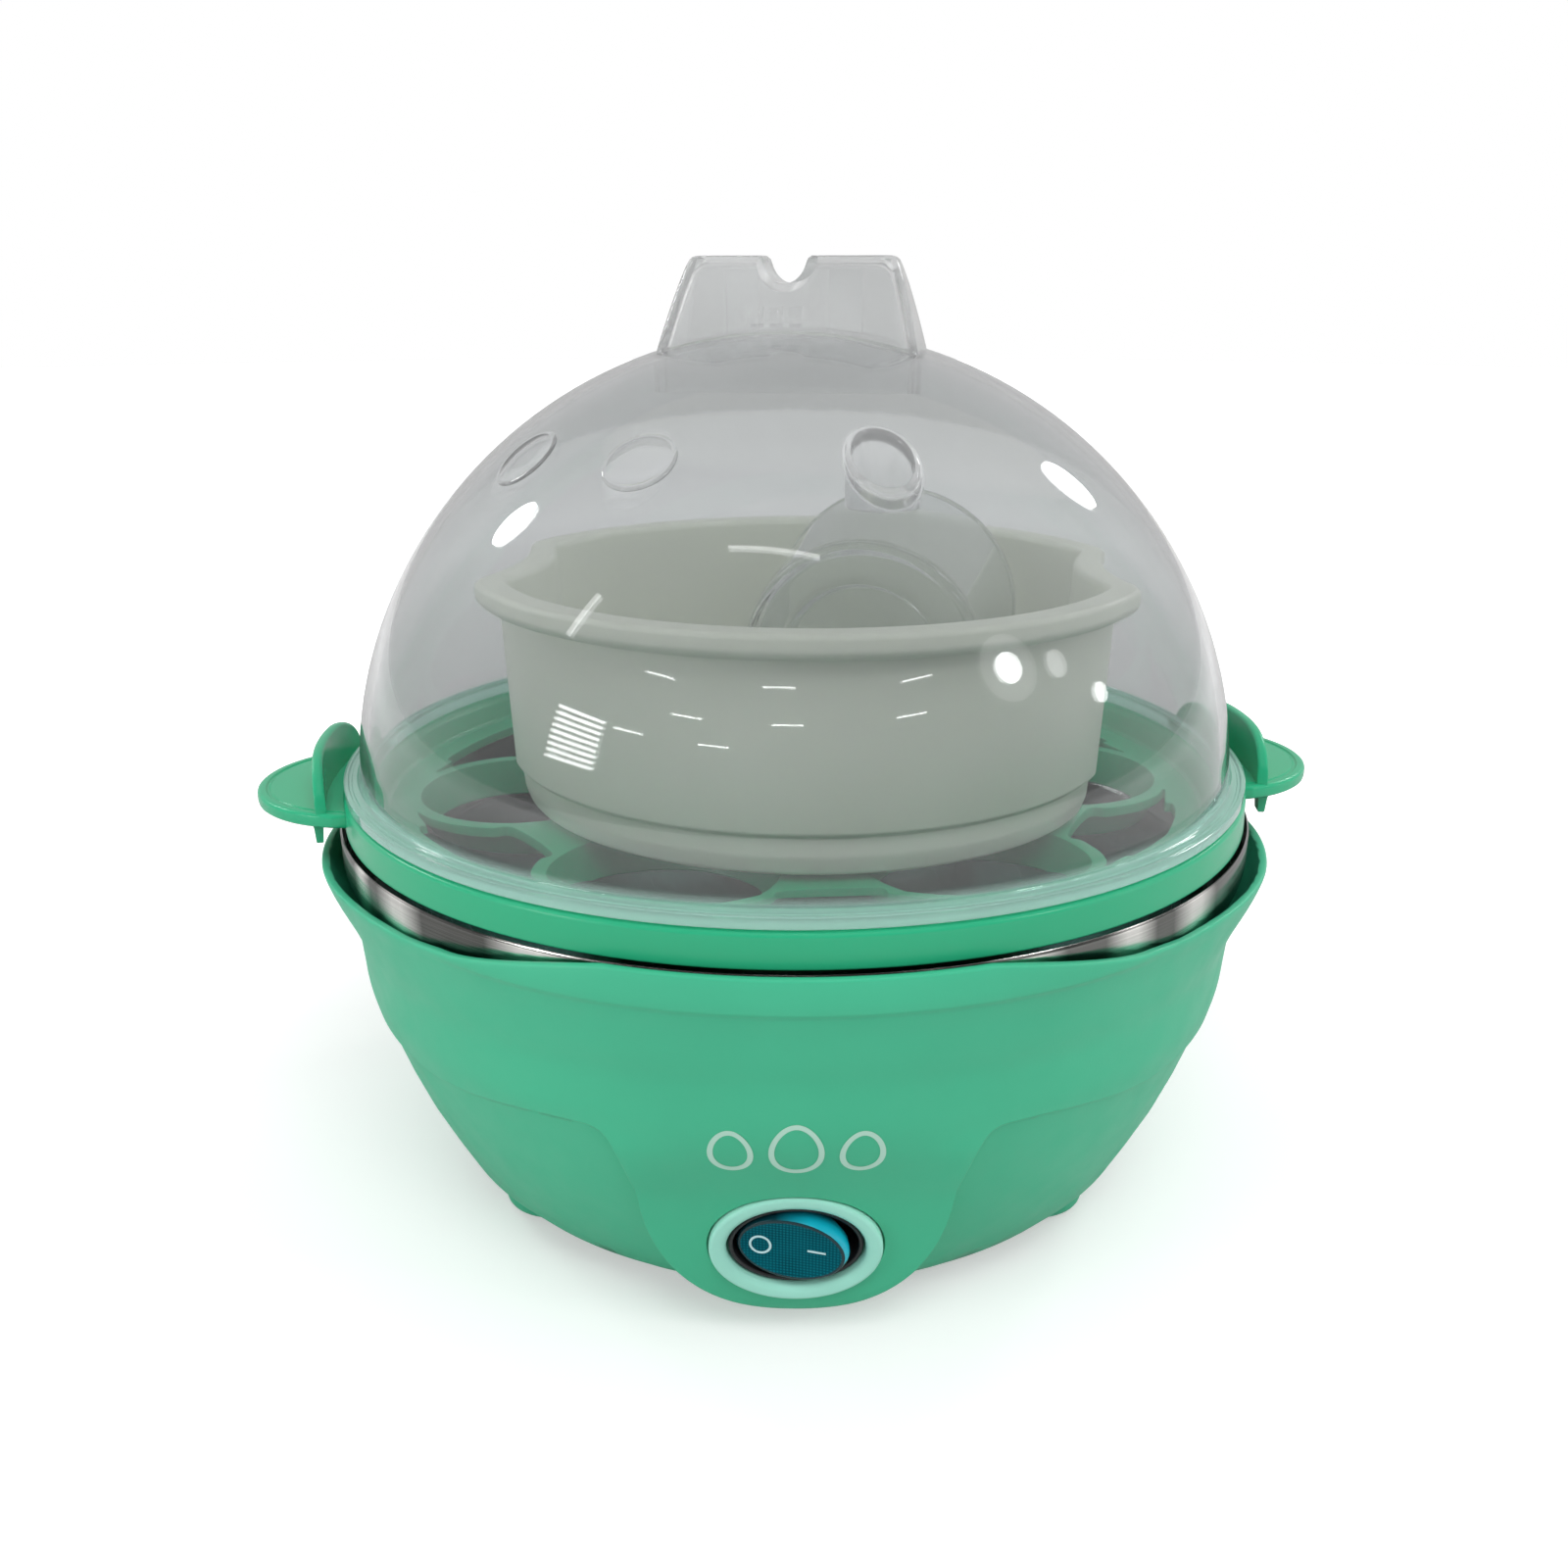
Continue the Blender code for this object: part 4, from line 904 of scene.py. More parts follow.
def make_base():
    profile = [(0.0, 5.6), (40.0, 5.6), (42.0, 4.9), (COVER_R - 0.3, 4.9), (COVER_R, 5.2),
               (COVER_R, 7.2), (43.0, 7.2), (41.0, 7.7), (0.0, 7.7)]
    cover = spun("base_plate", rounded(profile, 0.4, 2), 144)
    feet = bmesh.new()
    bump = [(7.6, 1.0), (8.9, 1.9), (9.3, 4.1), (4.3, 4.3), (4.3, 6.0)]
    for angle in FOOT_ANGLES:
        turned(feet, rounded(bump, 0.7, 3), 56, polar(FOOT_R, angle))
    cuts = bmesh.new()
    for angle in FOOT_ANGLES:
        turned(cuts, ((4.6, 0.5), (4.6, 2.6)), 40, polar(FOOT_R, angle))
    for angle in BOSS_ANGLES:
        turned(cuts, ((3.3, 4.0), (3.3, 5.6), (1.8, 5.6), (1.8, 8.5)), 24, polar(BOSS_R, angle))
    for k in range(-2, 3):
        loft(cuts, [box_loop(-14.0, 14.0, k * 6.0 - 1.0, k * 6.0 + 1.0, z) for z in (4.0, 9.0)])
    combine(cover, (new_object("foot_tool", feet), "UNION"),
            (new_object("slot_tool", cuts), "DIFFERENCE"))
    piece(cover, "base", "mint", "base_cover")
    for i, angle in enumerate(FOOT_ANGLES):
        bm = bmesh.new()
        pad = [(0.0, 0.0), (3.6, 0.0), (4.2, 0.5), (4.2, 2.3), (0.0, 2.3)]
        turned(bm, rounded(pad, 0.3, 3), 40, polar(FOOT_R, angle))
        piece(new_object(f"rubber_foot_{i + 1}", bm), "base", "rubber", f"foot_pad_{i + 1}")
    for i, angle in enumerate(BOSS_ANGLES):
        make_base_screw(i + 1, polar(BOSS_R, angle))


def make_base_screw(number, spot):
    """Pan-head screw with a cross recess, seen only from below."""
    bm = bmesh.new()
    head = [(0.0, 3.9), (1.9, 3.9), (2.9, 4.6), (2.9, 5.5), (1.2, 5.5), (1.2, 14.7), (0.0, 15.5)]
    turned(bm, rounded(head, 0.25, 3), 28, spot)
    slots = []
    x, y = spot
    for wide, tall in ((1.5, 0.28), (0.28, 1.5)):
        rows = [box_loop(x - wide, x + wide, y - tall, y + tall, 3.0),
                box_loop(x - wide * 0.8, x + wide * 0.8, y - tall * 0.9, y + tall * 0.9, 4.7)]
        slots.append((lofted("slot_tool", rows), "DIFFERENCE"))
    obj = combine(new_object(f"cross_screw_{number}", bm), *slots)
    piece(obj, "base", "zinc", f"base_screw_{number}")


def make_gland():
    """Ribbed cord gland in the back wall."""
    profile = [(GLAND_BORE, 62.0), (5.1, 62.0), (5.1, 75.3), (6.8, 75.5), (6.7, 77.0), (5.0, 77.7)]
    for k in range(3):
        y = 78.3 + 2.0 * k
        profile += [(4.9 - 0.12 * k, y), (4.9 - 0.12 * k, y + 1.0), (4.2 - 0.1 * k, y + 1.2),
                    (4.2 - 0.1 * k, y + 1.8)]
    profile += [(4.3, 84.2), (GLAND_BORE + 0.3, 84.2), (GLAND_BORE, 83.9), (GLAND_BORE, 62.0)]
    gland = spun("gland", rounded(profile, 0.2, 2)[:-1], 56, gland_place(), ring=True)
    piece(gland, "base", "black", "cord_gland")


# ---- heating plate ---------------------------------------------------------

def make_plate():
    """The spun steel pan, with a rolled upper edge."""
    path = refined(rounded(PLATE_PATH, 1.6, 5), 3.0)
    upper = []
    lower = []
    for i, (r, z) in enumerate(path):
        r0, z0 = path[max(i - 1, 0)]
        r1, z1 = path[min(i + 1, len(path) - 1)]
        length = math.hypot(r1 - r0, z1 - z0)
        nr = -(z1 - z0) / length * PLATE_T / 2
        nz = (r1 - r0) / length * PLATE_T / 2
        upper.append((r + nr, z + nz))
        lower.append((r - nr, z - nz))
    rim_r, rim_z = path[0]
    profile = [(0.0, upper[-1][1])] + upper[::-1] + [(rim_r + 0.1, rim_z + 0.5)] + lower
    profile.append((0.0, lower[-1][1]))
    piece(spun("steel_pan", profile, 256), "base", "steel", "heating_plate")


# ---- switch ----------------------------------------------------------------

def make_switch():
    place = switch_place()
    rows = ovals(BEZEL_HALF, (0.0, -1.2), (0.0, 0.35), (0.08, 0.6), (0.3, 0.82), (0.7, 0.9))
    rows += ovals(MOUTH_HALF, (-1.1, 0.78), (-0.75, 0.7), (-0.3, 0.45), (0.0, 0.05), (0.0, -1.2))
    bezel = lofted("bezel_ring", rows, place, ring=True)
    piece(bezel, "base", "pale_mint", "switch_bezel")
    rows = ovals(TAIL_HALF, (0.0, -19.0), (0.0, -11.0))
    rows += ovals(FRAME_HALF, (0.0, -11.0), (0.0, -0.6), (0.1, -0.4), (0.3, -0.3))
    rows += ovals(WELL_HALF, (-0.15, -0.35), (0.0, -0.5), (0.0, -9.2))
    piece(lofted("switch_well", rows, place), "base", "black", "switch_body")
    make_rocker(place)


def make_rocker(place):
    """Rocker at rest with its left half pressed in. Light and shade are painted on its sides: walls
    turned towards the light take a lit blue, and the other walls and the face's rim a dark painted
    shade.
    """
    rest = place @ Matrix.Translation((0.0, 0.0, PIVOT_DEPTH))
    rest = rest @ Matrix.Rotation(math.radians(-ROCKER_REST), 4, "Y")
    a, b = ROCKER_HALF
    top = ROCKER_TOP
    c, d = a - 0.45, b - 0.2
    rows = [oval(a - 3.2, b - 0.6, -2.0), oval(a - 0.5, b - 0.2, 0.6),
            oval(a - 0.05, b - 0.05, 2.2), oval(a - 0.15, b - 0.1, 3.0)]
    rows += ovals((c, d), (0.0, top - 0.35), (0.1, top - 0.1), (0.3, top), (0.6, top),
                  (0.9, top - 0.16))
    for share in (0.75, 0.5, 0.25):
        rows.append(oval((c - 0.9) * share, (d - 0.9) * share, top - 0.36 + 0.2 * share ** 2))
    rows.append([Vector((0.0, 0.0, top - 0.36))])
    body = lofted("rocker_key", rows, rest)
    piece(body, "rocker", "teal", "rocker", sharp=50.0)
    body.data.materials.append(ROCKER_SIDE)
    body.data.materials.append(ROCKER_SHADE)
    out = rest.to_3x3() @ Vector((0.0, 0.0, 1.0))
    # Walls facing this way get the painted lit blue; the other walls and the face's rim get painted
    # shade.
    lit_from = Vector((0.55, 0.0, 0.83))
    for face in body.data.polygons:
        spot = rest.inverted() @ (face.center / MM)
        reach = math.hypot(spot.x / (c - 0.62), spot.y / (d - 0.62))
        if face.normal.dot(out) < 0.75:
            face.material_index = 1 if face.normal.dot(lit_from) > 0.1 else 2
        elif reach > 1.0 or spot.z < top - 1.0:
            face.material_index = 2

    def ink(name, rows, ring):
        piece(lofted(name, rows, rest, ring), "rocker", "milky", mat=MARK_PALE)

    def face_z(x, y):
        share = min(1.0, math.hypot(x / (c - 0.9), y / (d - 0.9)))
        return top - 0.36 + 0.2 * share ** 2

    circle_mark = []
    for k in range(48):
        t = math.tau * k / 48
        row = []
        for radius, lift in ((1.42, 0.0), (1.42, 0.05), (1.8, 0.05), (1.8, 0.0)):
            x, y = -4.9 + radius * math.cos(t), 0.1 + radius * math.sin(t)
            row.append(Vector((x, y, face_z(x, y) + lift)))
        circle_mark.append(row)
    ink("mark_off", circle_mark, True)
    bar = []
    for k in range(9):
        x = 2.6 + 2.9 * k / 8
        y = 0.15
        bar.append([Vector((x, y + side, face_z(x, y) + lift))
                    for side, lift in ((-0.18, 0.0), (-0.18, 0.05), (0.18, 0.05), (0.18, 0.0))])
    ink("mark_on", bar, False)


def rocker_side():
    """The rocker's wall in its clear blue, with painted light: painted shade at the pressed end,
    lit towards the raised end.
    """
    f = moulded("rocker_side", ROCKER_BLUE, 0.22, swing=0.12)
    along = f.spread(f.axes()[0], 0.0, 1.0, -3.2 * MM, 2.2 * MM)
    f.colour(f.mix(along, (0.002, 0.045, 0.06), ROCKER_BLUE))
    return f.mat


# The rocker's clear blue as it looks when lit; the brightness is painted light.
ROCKER_BLUE = (0.005, 0.42, 0.56)
ROCKER_SIDE = rocker_side()
# Painted shade for the rocker's walls turned from the light and the dark rim round its face.
ROCKER_SHADE = moulded("rocker_painted_shade", (0.002, 0.03, 0.04), 0.22, swing=0.12).mat


# ---- egg tray --------------------------------------------------------------

def plate_fill(bm, loops):
    edges = []
    for loop in loops:
        for first, second in zip(loop, loop[1:] + loop[:1]):
            edges.append(bm.edges.get((first, second)) or bm.edges.new((first, second)))
    bmesh.ops.triangle_fill(bm, use_beauty=True, use_dissolve=False, edges=edges)


def closed_curve(points, steps):
    """Smooth closed outline through the given points (Catmull-Rom)."""
    count = len(points)
    path = []
    for i in range(count):
        a, b, c, d = (Vector(points[(i + k - 1) % count]) for k in range(4))
        for k in range(steps):
            t = k / steps
            path.append(0.5 * (2 * b + (c - a) * t + (2 * a - 5 * b + 4 * c - d) * t * t
                               + (3 * b - a - 3 * c + d) * t ** 3))
    return path


def window_outline():
    """Opening between two egg rings, along +X: wide at the tray's edge, narrow within."""
    ring_x, ring_y = polar(EGG_CIRCLE, 30.0)
    side = []
    for a in (60.0, 50.0, 38.0, 26.0, 14.0, 4.0):
        x, y = polar(21.4, -a)
        side.append((ring_x + x, ring_y + y))
    side.append((66.9, 16.9))
    side.append(polar(70.3, 13.4))
    side.append(polar(70.6, 9.0))
    return closed_curve(side + [(70.6, 0.0)] + [(x, -y) for x, y in reversed(side)], 5)


def grown(outline, amount):
    """The closed outline moved outwards along its normals."""
    count = len(outline)
    area = sum(outline[i - 1].cross(outline[i]) for i in range(count))
    turn = 1.0 if area > 0.0 else -1.0
    moved = []
    for i, p in enumerate(outline):
        along = (outline[(i + 1) % count] - outline[i - 1]).normalized()
        moved.append(p + Vector((along.y, -along.x)) * amount * turn)
    return moved


def tray_mesh():
    bm = bmesh.new()
    band = [(75.2, DECK_TOP), (75.8, DECK_TOP + 0.5), (77.2, 74.6), (77.9, TRAY_TOP - 0.3),
            (78.3, TRAY_TOP), (TRAY_R - 0.4, TRAY_TOP), (TRAY_R, TRAY_TOP - 0.5),
            (TRAY_R + 0.1, 70.1), (TRAY_R - 1.7, 70.1), (TRAY_R - 1.9, 73.9), (78.9, 73.9),
            (77.4, DECK_BOTTOM + 0.6), (76.2, DECK_BOTTOM)]
    walls = [skin(bm, [circle(r, z, 180) for r, z in rounded(band, 0.35, 3)])]
    centres = [(0.0, 0.0)] + [polar(EGG_CIRCLE, 60.0 * k) for k in range(6)]
    for centre in centres:
        wall = [(EGG_MOUTH + 0.55, DECK_TOP), (EGG_MOUTH + 0.2, DECK_TOP - 0.1),
                (EGG_MOUTH, DECK_TOP - 0.5)]
        wall += [(EGG_MOUTH + (EGG_SEAT - EGG_MOUTH) * k / 3.0,
                  DECK_TOP - 0.5 + (EGG_SEAT_Z + 0.3 - DECK_TOP + 0.5) * k / 3.0)
                 for k in (1, 2, 3)]
        wall += [(EGG_SEAT + 0.3, EGG_SEAT_Z), (EGG_SEAT + 1.2, EGG_SEAT_Z),
                 (EGG_SEAT + 1.5, EGG_SEAT_Z + 0.3), (EGG_MOUTH + 1.5, DECK_BOTTOM)]
        walls.append(skin(bm, [circle(r, z, 72, centre) for r, z in wall]))
    outline = window_outline()
    for k in range(6):
        turn = about_z(30.0 + 60.0 * k)
        rows = []
        for grow, z in ((0.45, DECK_TOP), (0.12, DECK_TOP - 0.12), (0.0, DECK_TOP - 0.45),
                        (0.0, DECK_BOTTOM)):
            rows.append([turn @ Vector((p.x, p.y, z)) for p in grown(outline, grow)])
        walls.append(skin(bm, rows))
    for end in (0, -1):
        plate_fill(bm, [loops[end] for loops in walls])
    return bm


def tab_outline(inset):
    """Half-oval tab outline: the tray's side stays put and the free side moves in."""
    points = []
    for k in range(25):
        points.append(Vector(polar(TAB_FOOT_R, -14.4 + 1.2 * k)))
    for k in range(61):
        a = math.radians(80.5 - 161.0 * k / 60.0)
        x = TAB_ROOT + (TAB_TIP - TAB_ROOT) * math.cos(a)
        y = TAB_HALF * math.sin(a)
        normal = Vector((math.cos(a) / (TAB_TIP - TAB_ROOT), math.sin(a) / TAB_HALF)).normalized()
        points.append(Vector((x, y)) - normal * inset)
    return points


def tab_bodies():
    """The two lifting tabs, each with a rounded rim and a fine groove inside it."""
    bm = bmesh.new()
    section = ((1.2, 71.4), (0.5, 71.5), (0.12, 71.8), (0.0, 72.3), (0.0, 73.3), (0.12, 73.7),
               (0.45, 73.95), (0.9, 74.0), (1.5, 74.0), (1.75, 73.75), (2.15, 73.75), (2.4, 73.95))
    for flip in (1.0, -1.0):
        loft(bm, [[Vector((flip * p.x, flip * p.y, z)) for p in tab_outline(inset)]
                  for inset, z in section])
    return bm


def fin_bodies():
    """An upright curved fin on each tab."""
    bm = bmesh.new()
    for flip in (0.0, 180.0):
        rows = []
        for k in range(-40, 41):
            share = k / 40.0
            top = 74.3 + 8.1 * math.sqrt(max(0.0, 1.0 - abs(share) ** 3.2))
            rise = max(top - 73.2, 0.9)
            row = [(FIN_IN, FIN_FOOT), (FIN_OUT, FIN_FOOT)]
            for turn in (0.0, 30.0, 60.0, 90.0):
                c, s = polar(1.0, turn)
                row.append((FIN_OUT - 0.7 + 0.7 * c, 73.2 + rise - 0.7 + 0.7 * s))
            for turn in (90.0, 60.0, 30.0, 0.0):
                c, s = polar(1.0, turn)
                row.append((FIN_IN + 0.6 - 0.6 * c, 73.2 + rise - 0.6 + 0.6 * s))
            rows.append([Vector((*polar(r, flip + 13.0 * share), z)) for r, z in row])
        loft(bm, rows)
    return bm


def prong_bodies():
    """Two short prongs below each tab, with a small gusset behind each."""
    bm = bmesh.new()
    for flip in (0.0, 180.0):
        for side in (-11.0, 11.0):
            rows = [box_loop(86.35, 87.25, -1.2, 1.2, 68.0), box_loop(86.2, 87.4, -1.5, 1.5, 68.25),
                    box_loop(86.0, 87.6, -1.9, 1.9, 71.0), box_loop(85.7, 87.9, -2.4, 2.4, 72.4)]
            loft(bm, rows, place=about_z(flip + side))
    return bm


def make_tray():
    turn = about_z(TRAY_TURN)
    tray = new_object("tray", tray_mesh(), turn)
    added = (("tab_tool", tab_bodies), ("fin_tool", fin_bodies), ("prong_tool", prong_bodies))
    combine(tray, *[(new_object(name, body(), turn), "UNION") for name, body in added])
    piece(tray, "tray", "gloss_mint", "egg_tray")


# ---- lid -------------------------------------------------------------------

def dome_z(radius, inset=0.0):
    share = clamp(radius / (DOME_R - inset))
    return LID_BASE + (DOME_RISE - inset) * (1.0 - share * share) ** (1.0 / DOME_POWER)


def dome_shares():
    """Shares of the dome's radius, close together where its side stands upright."""
    return [math.sin(math.pi / 2.0 * (1.0 - k / 44.0)) ** 0.9 for k in range(1, 44)]


def dome_profile():
    outer = [(FLANGE_R - 0.2, LID_Z + 0.05), (FLANGE_R, LID_Z + 0.35), (FLANGE_R, LID_BASE - 0.1),
             (FLANGE_R - 0.25, LID_BASE + 0.05), (FLANGE_R - 0.7, LID_BASE + 0.05),
             (FLANGE_R - 0.95, LID_BASE - 0.3), (FLANGE_R - 1.3, LID_BASE - 0.3),
             (FLANGE_R - 1.5, LID_BASE - 0.1), (DOME_R + 0.75, LID_BASE - 0.1),
             (DOME_R + 0.3, LID_BASE + 0.1), (DOME_R + 0.05, LID_BASE + 0.6)]
    for share in dome_shares():
        outer.append((DOME_R * share, dome_z(DOME_R * share)))
    outer.append((0.0, dome_z(0.0)))
    inner = [(0.0, dome_z(0.0, DOME_WALL))]
    for share in reversed(dome_shares()):
        radius = (DOME_R - DOME_WALL) * share
        inner.append((radius, dome_z(radius, DOME_WALL)))
    inner += [(DOME_R - DOME_WALL, LID_BASE - 0.4), (DOME_R - DOME_WALL, LID_Z + 0.4),
              (DOME_R - DOME_WALL + 0.3, LID_Z + 0.1), (DOME_R + 0.6, LID_Z),
              (FLANGE_R - 0.6, LID_Z)]
    return inner + outer


def on_dome(x, y, lift):
    """A point standing the given height off the dome's outside, square to it."""
    radius = math.hypot(x, y)
    slope = (dome_z(radius + 0.05) - dome_z(radius - 0.05)) / 0.1
    normal = Vector((-slope * x / radius, -slope * y / radius, 1.0)).normalized()
    return Vector((x, y, dome_z(radius))) + normal * lift


def vent_rows(steps):
    """Rings round the vent that follow the dome's slope, one for each (radius, lift)."""
    rows = []
    for radius, lift in steps:
        row = []
        for p in circle(radius, 0.0, VENT_SIDES, VENT_AT):
            row.append(Vector((p.x, p.y, dome_z(math.hypot(p.x, p.y)) + lift)))
        rows.append(row)
    return rows


def vent_tool():
    """The vent's tube: its upper end follows the dome's slope and has a rounded edge."""
    foot = ((VENT_R - 0.9, VENT_LOW), (VENT_R - 0.2, VENT_LOW), (VENT_R, VENT_LOW + 0.25))
    rows = [circle(r, z, VENT_SIDES, VENT_AT) for r, z in foot]
    rows += vent_rows(((VENT_R, 0.0), (VENT_R, 0.15), (VENT_R - 0.15, 0.4), (VENT_R - 0.5, 0.55)))
    return lofted("vent_tool", rows)


def dome_cuts():
    bm = bmesh.new()
    rows = [circle(VENT_BORE + 0.3, VENT_LOW - 3.0, VENT_SIDES, VENT_AT),
            circle(VENT_BORE, VENT_LOW + 0.4, VENT_SIDES, VENT_AT)]
    rows += vent_rows(((VENT_BORE, -0.1), (VENT_BORE + 0.35, 0.5), (VENT_BORE + 1.6, 2.4)))
    loft(bm, rows)
    for x in SLOTS_X:
        rows = [box_loop(x - 3.3, x + 3.3, -1.5, 1.5, z) for z in (147.0, 158.0)]
        loft(bm, rows, place=about_z(HANDLE_TURN))
    return new_object("dome_cuts", bm)


def raised_ovals():
    """Two plain raised pads on the upper left of the dome."""
    bm = bmesh.new()
    for x, y, wide, tall in PADS:
        outward = Vector((x, y)).normalized()
        across = Vector((-outward.y, outward.x))
        rows = []
        for share, lift in ((1.0, -0.5), (1.0, 0.12), (0.94, 0.3), (0.84, 0.3), (0.8, 0.16),
                            (0.4, 0.16)):
            row = []
            for k in range(56):
                t = math.tau * k / 56
                p = (Vector((x, y)) + across * wide * share * math.cos(t)
                     + outward * tall * share * math.sin(t))
                row.append(on_dome(p.x, p.y, lift))
            rows.append(row)
        rows.append([on_dome(x, y, 0.16)])
        loft(bm, rows)
    return new_object("pad_tool", bm)


def make_dome():
    dome = combine(spun("dome", dome_profile(), 224), (vent_tool(), "UNION"),
                   (raised_ovals(), "UNION"), (dome_cuts(), "DIFFERENCE"))
    piece(dome, "lid", "clear", "lid_dome", sharp=CLEAR_SHARP)


def half_width(z):
    return 17.4 + 5.2 * clamp((HANDLE_TOP - z) / 17.0) ** 0.75


def half_depth(z):
    return 3.6 + 7.4 * clamp((HANDLE_TOP - z) / 15.0)


def rounded_box(half_x, half_y, z, corner=1.4, steps=5):
    """A level rounded rectangle."""
    corner = min(corner, half_x * 0.9, half_y * 0.9)
    points = []
    for sx, sy, start in ((1, 1, 0.0), (-1, 1, 90.0), (-1, -1, 180.0), (1, -1, 270.0)):
        for k in range(steps + 1):
            x, y = polar(corner, start + 90.0 * k / steps)
            points.append(Vector((sx * (half_x - corner) + x, sy * (half_y - corner) + y, z)))
    return points


def handle_stack(inset, low):
    """Level sections of the handle from its top down; inset gives the hollow inside."""
    bm = bmesh.new()
    top = HANDLE_TOP - inset
    rows = []
    for drop, pull in ((0.0, 0.75), (0.08, 0.42), (0.28, 0.16), (0.6, 0.0)):
        z = top - drop
        rows.append(rounded_box(half_width(z + inset) - inset - pull,
                                half_depth(z) - inset - pull, z))
    for k in range(1, 25):
        z = top - 0.6 - (top - 0.6 - low) * k / 24.0
        rows.append(rounded_box(half_width(z) - inset, half_depth(z) - inset, z))
    loft(bm, rows)
    return bm


def notch_tool(grow):
    """The finger notch in the top edge: round at the bottom, with eased shoulders."""
    bm = bmesh.new()
    outline = []
    for k in range(-24, 25):
        share = k / 24.0
        outline.append(((3.7 + grow) * share - 1.0,
                        HANDLE_TOP - (4.5 + grow) * math.sqrt(max(0.0, 1.0 - abs(share) ** 2.2))))
    left, right = outline[0], outline[-1]
    outline[0] = (left[0] - 0.1, left[1] - 0.5)
    outline[-1] = (right[0] + 0.1, right[1] - 0.5)
    outline = ([(left[0] - 1.4, HANDLE_TOP + 3.0), (left[0] - 1.3, HANDLE_TOP + 0.3),
                (left[0] - 0.6, HANDLE_TOP - 0.05)] + outline
               + [(right[0] + 0.6, HANDLE_TOP - 0.05), (right[0] + 1.3, HANDLE_TOP + 0.3),
                  (right[0] + 1.4, HANDLE_TOP + 3.0)])
    loft(bm, [[Vector((x, y, z)) for x, z in outline] for y in (-14.0, 14.0)])
    return bm


def dome_body(lift):
    """The dome as a solid, to trim what sits on it."""
    bm = bmesh.new()
    profile = [(0.0, 100.0), (DOME_R * dome_shares()[8], 100.0)]
    for share in dome_shares()[8:]:
        profile.append((DOME_R * share, dome_z(DOME_R * share) + lift))
    profile.append((0.0, dome_z(0.0) + lift))
    turned(bm, profile, 96)
    return bm


def make_handle():
    turn = about_z(HANDLE_TURN)
    hollow = combine(new_object("hollow_tool", handle_stack(HANDLE_WALL, 140.0), turn),
                     (new_object("notch_wall", notch_tool(HANDLE_WALL), turn), "DIFFERENCE"))
    ribs = bmesh.new()
    for x in SLOTS_X:
        loft(ribs, [box_loop(x - 2.8, x + 2.8, -1.0, 1.0, z) for z in (149.6, 163.0)])
    for x in (-5.2, -1.9, 1.4):
        loft(ribs, [box_loop(x - 1.1, x + 1.1, -8.6, -7.4, z) for z in (153.6, 157.2)])
    handle = combine(new_object("grip", handle_stack(0.0, 143.0), turn),
                     (new_object("notch", notch_tool(0.0), turn), "DIFFERENCE"),
                     (hollow, "DIFFERENCE"),
                     (new_object("seat_tool", dome_body(0.35)), "DIFFERENCE"),
                     (new_object("rib_tool", ribs, turn), "UNION"))
    piece(handle, "lid", "clear", "lid_handle", mat=GRIP_CLEAR, sharp=CLEAR_SHARP)


# ---- bowl and cup ----------------------------------------------------------

def notch_pinch(angle):
    """How far the bowl's wall is drawn in: a shallow hollow across each end."""
    a = abs(angle) % 180.0
    a = min(a, 180.0 - a)
    if a >= NOTCH_ANGLE:
        return 0.0
    floor = BOWL_LIP_R - NOTCH_DEPTH
    corner = BOWL_LIP_R * math.cos(math.radians(NOTCH_ANGLE))
    across = floor + (corner - floor) * (a / NOTCH_ANGLE) ** 2
    return max(0.0, BOWL_LIP_R - across / math.cos(math.radians(a)))


def eased_pinch(angle):
    """The same with its corners eased over a few degrees."""
    return sum(notch_pinch(angle + 0.6 * k) for k in range(-4, 5)) / 9.0


def make_bowl():
    z0 = BOWL_FLOOR
    outer = [(0.0, z0), (49.0, z0), (52.4, z0 + 1.4), (53.5, z0 + 4.6), (53.75, z0 + 8.0),
             (54.5, z0 + 8.35), (54.9, z0 + 8.9), (56.2, BOWL_RIM - 4.6), (59.3, BOWL_RIM - 4.0),
             (BOWL_LIP_R, BOWL_RIM - 2.8), (BOWL_LIP_R, BOWL_RIM - 0.6), (59.5, BOWL_RIM)]
    inner = [(55.2, BOWL_RIM), (54.6, BOWL_RIM - 0.9), (53.3, z0 + 9.4), (52.1, z0 + 8.2),
             (51.9, z0 + 5.0), (50.9, z0 + 2.8), (48.6, z0 + 1.8), (0.0, z0 + 1.8)]
    profile = refined(rounded(outer + inner, 0.55, 3), 5.0)
    rows = []
    for r, z in profile:
        if r < 1e-6:
            rows.append([Vector((0.0, 0.0, z))])
            continue
        row = []
        for k in range(300):
            angle = 1.2 * k
            pinch = eased_pinch(angle) * clamp((r - 40.0) / 8.0)
            row.append(Vector((*polar(r - pinch, angle), z)))
        rows.append(row)
    place = Matrix.Translation((*BOWL_AT, 0.0)) @ about_z(BOWL_TURN)
    piece(lofted("bowl", rows, place), "bowl", "milky", "steam_bowl", sharp=50.0)


def cup_place():
    """Frame of the cup lying on the bowl's floor: its z runs from base to mouth."""
    floor = BOWL_FLOOR + 2.1
    base = Vector((*CUP_BASE, floor + CUP_BASE_R))
    mouth = Vector((*CUP_MOUTH, floor + CUP_MOUTH_R))
    axis = (mouth - base).normalized()
    level = Vector((axis.y, -axis.x, 0.0)).normalized()
    turn = Matrix((level, axis.cross(level), axis)).transposed().to_4x4()
    return Matrix.Translation(base) @ turn, (mouth - base).length


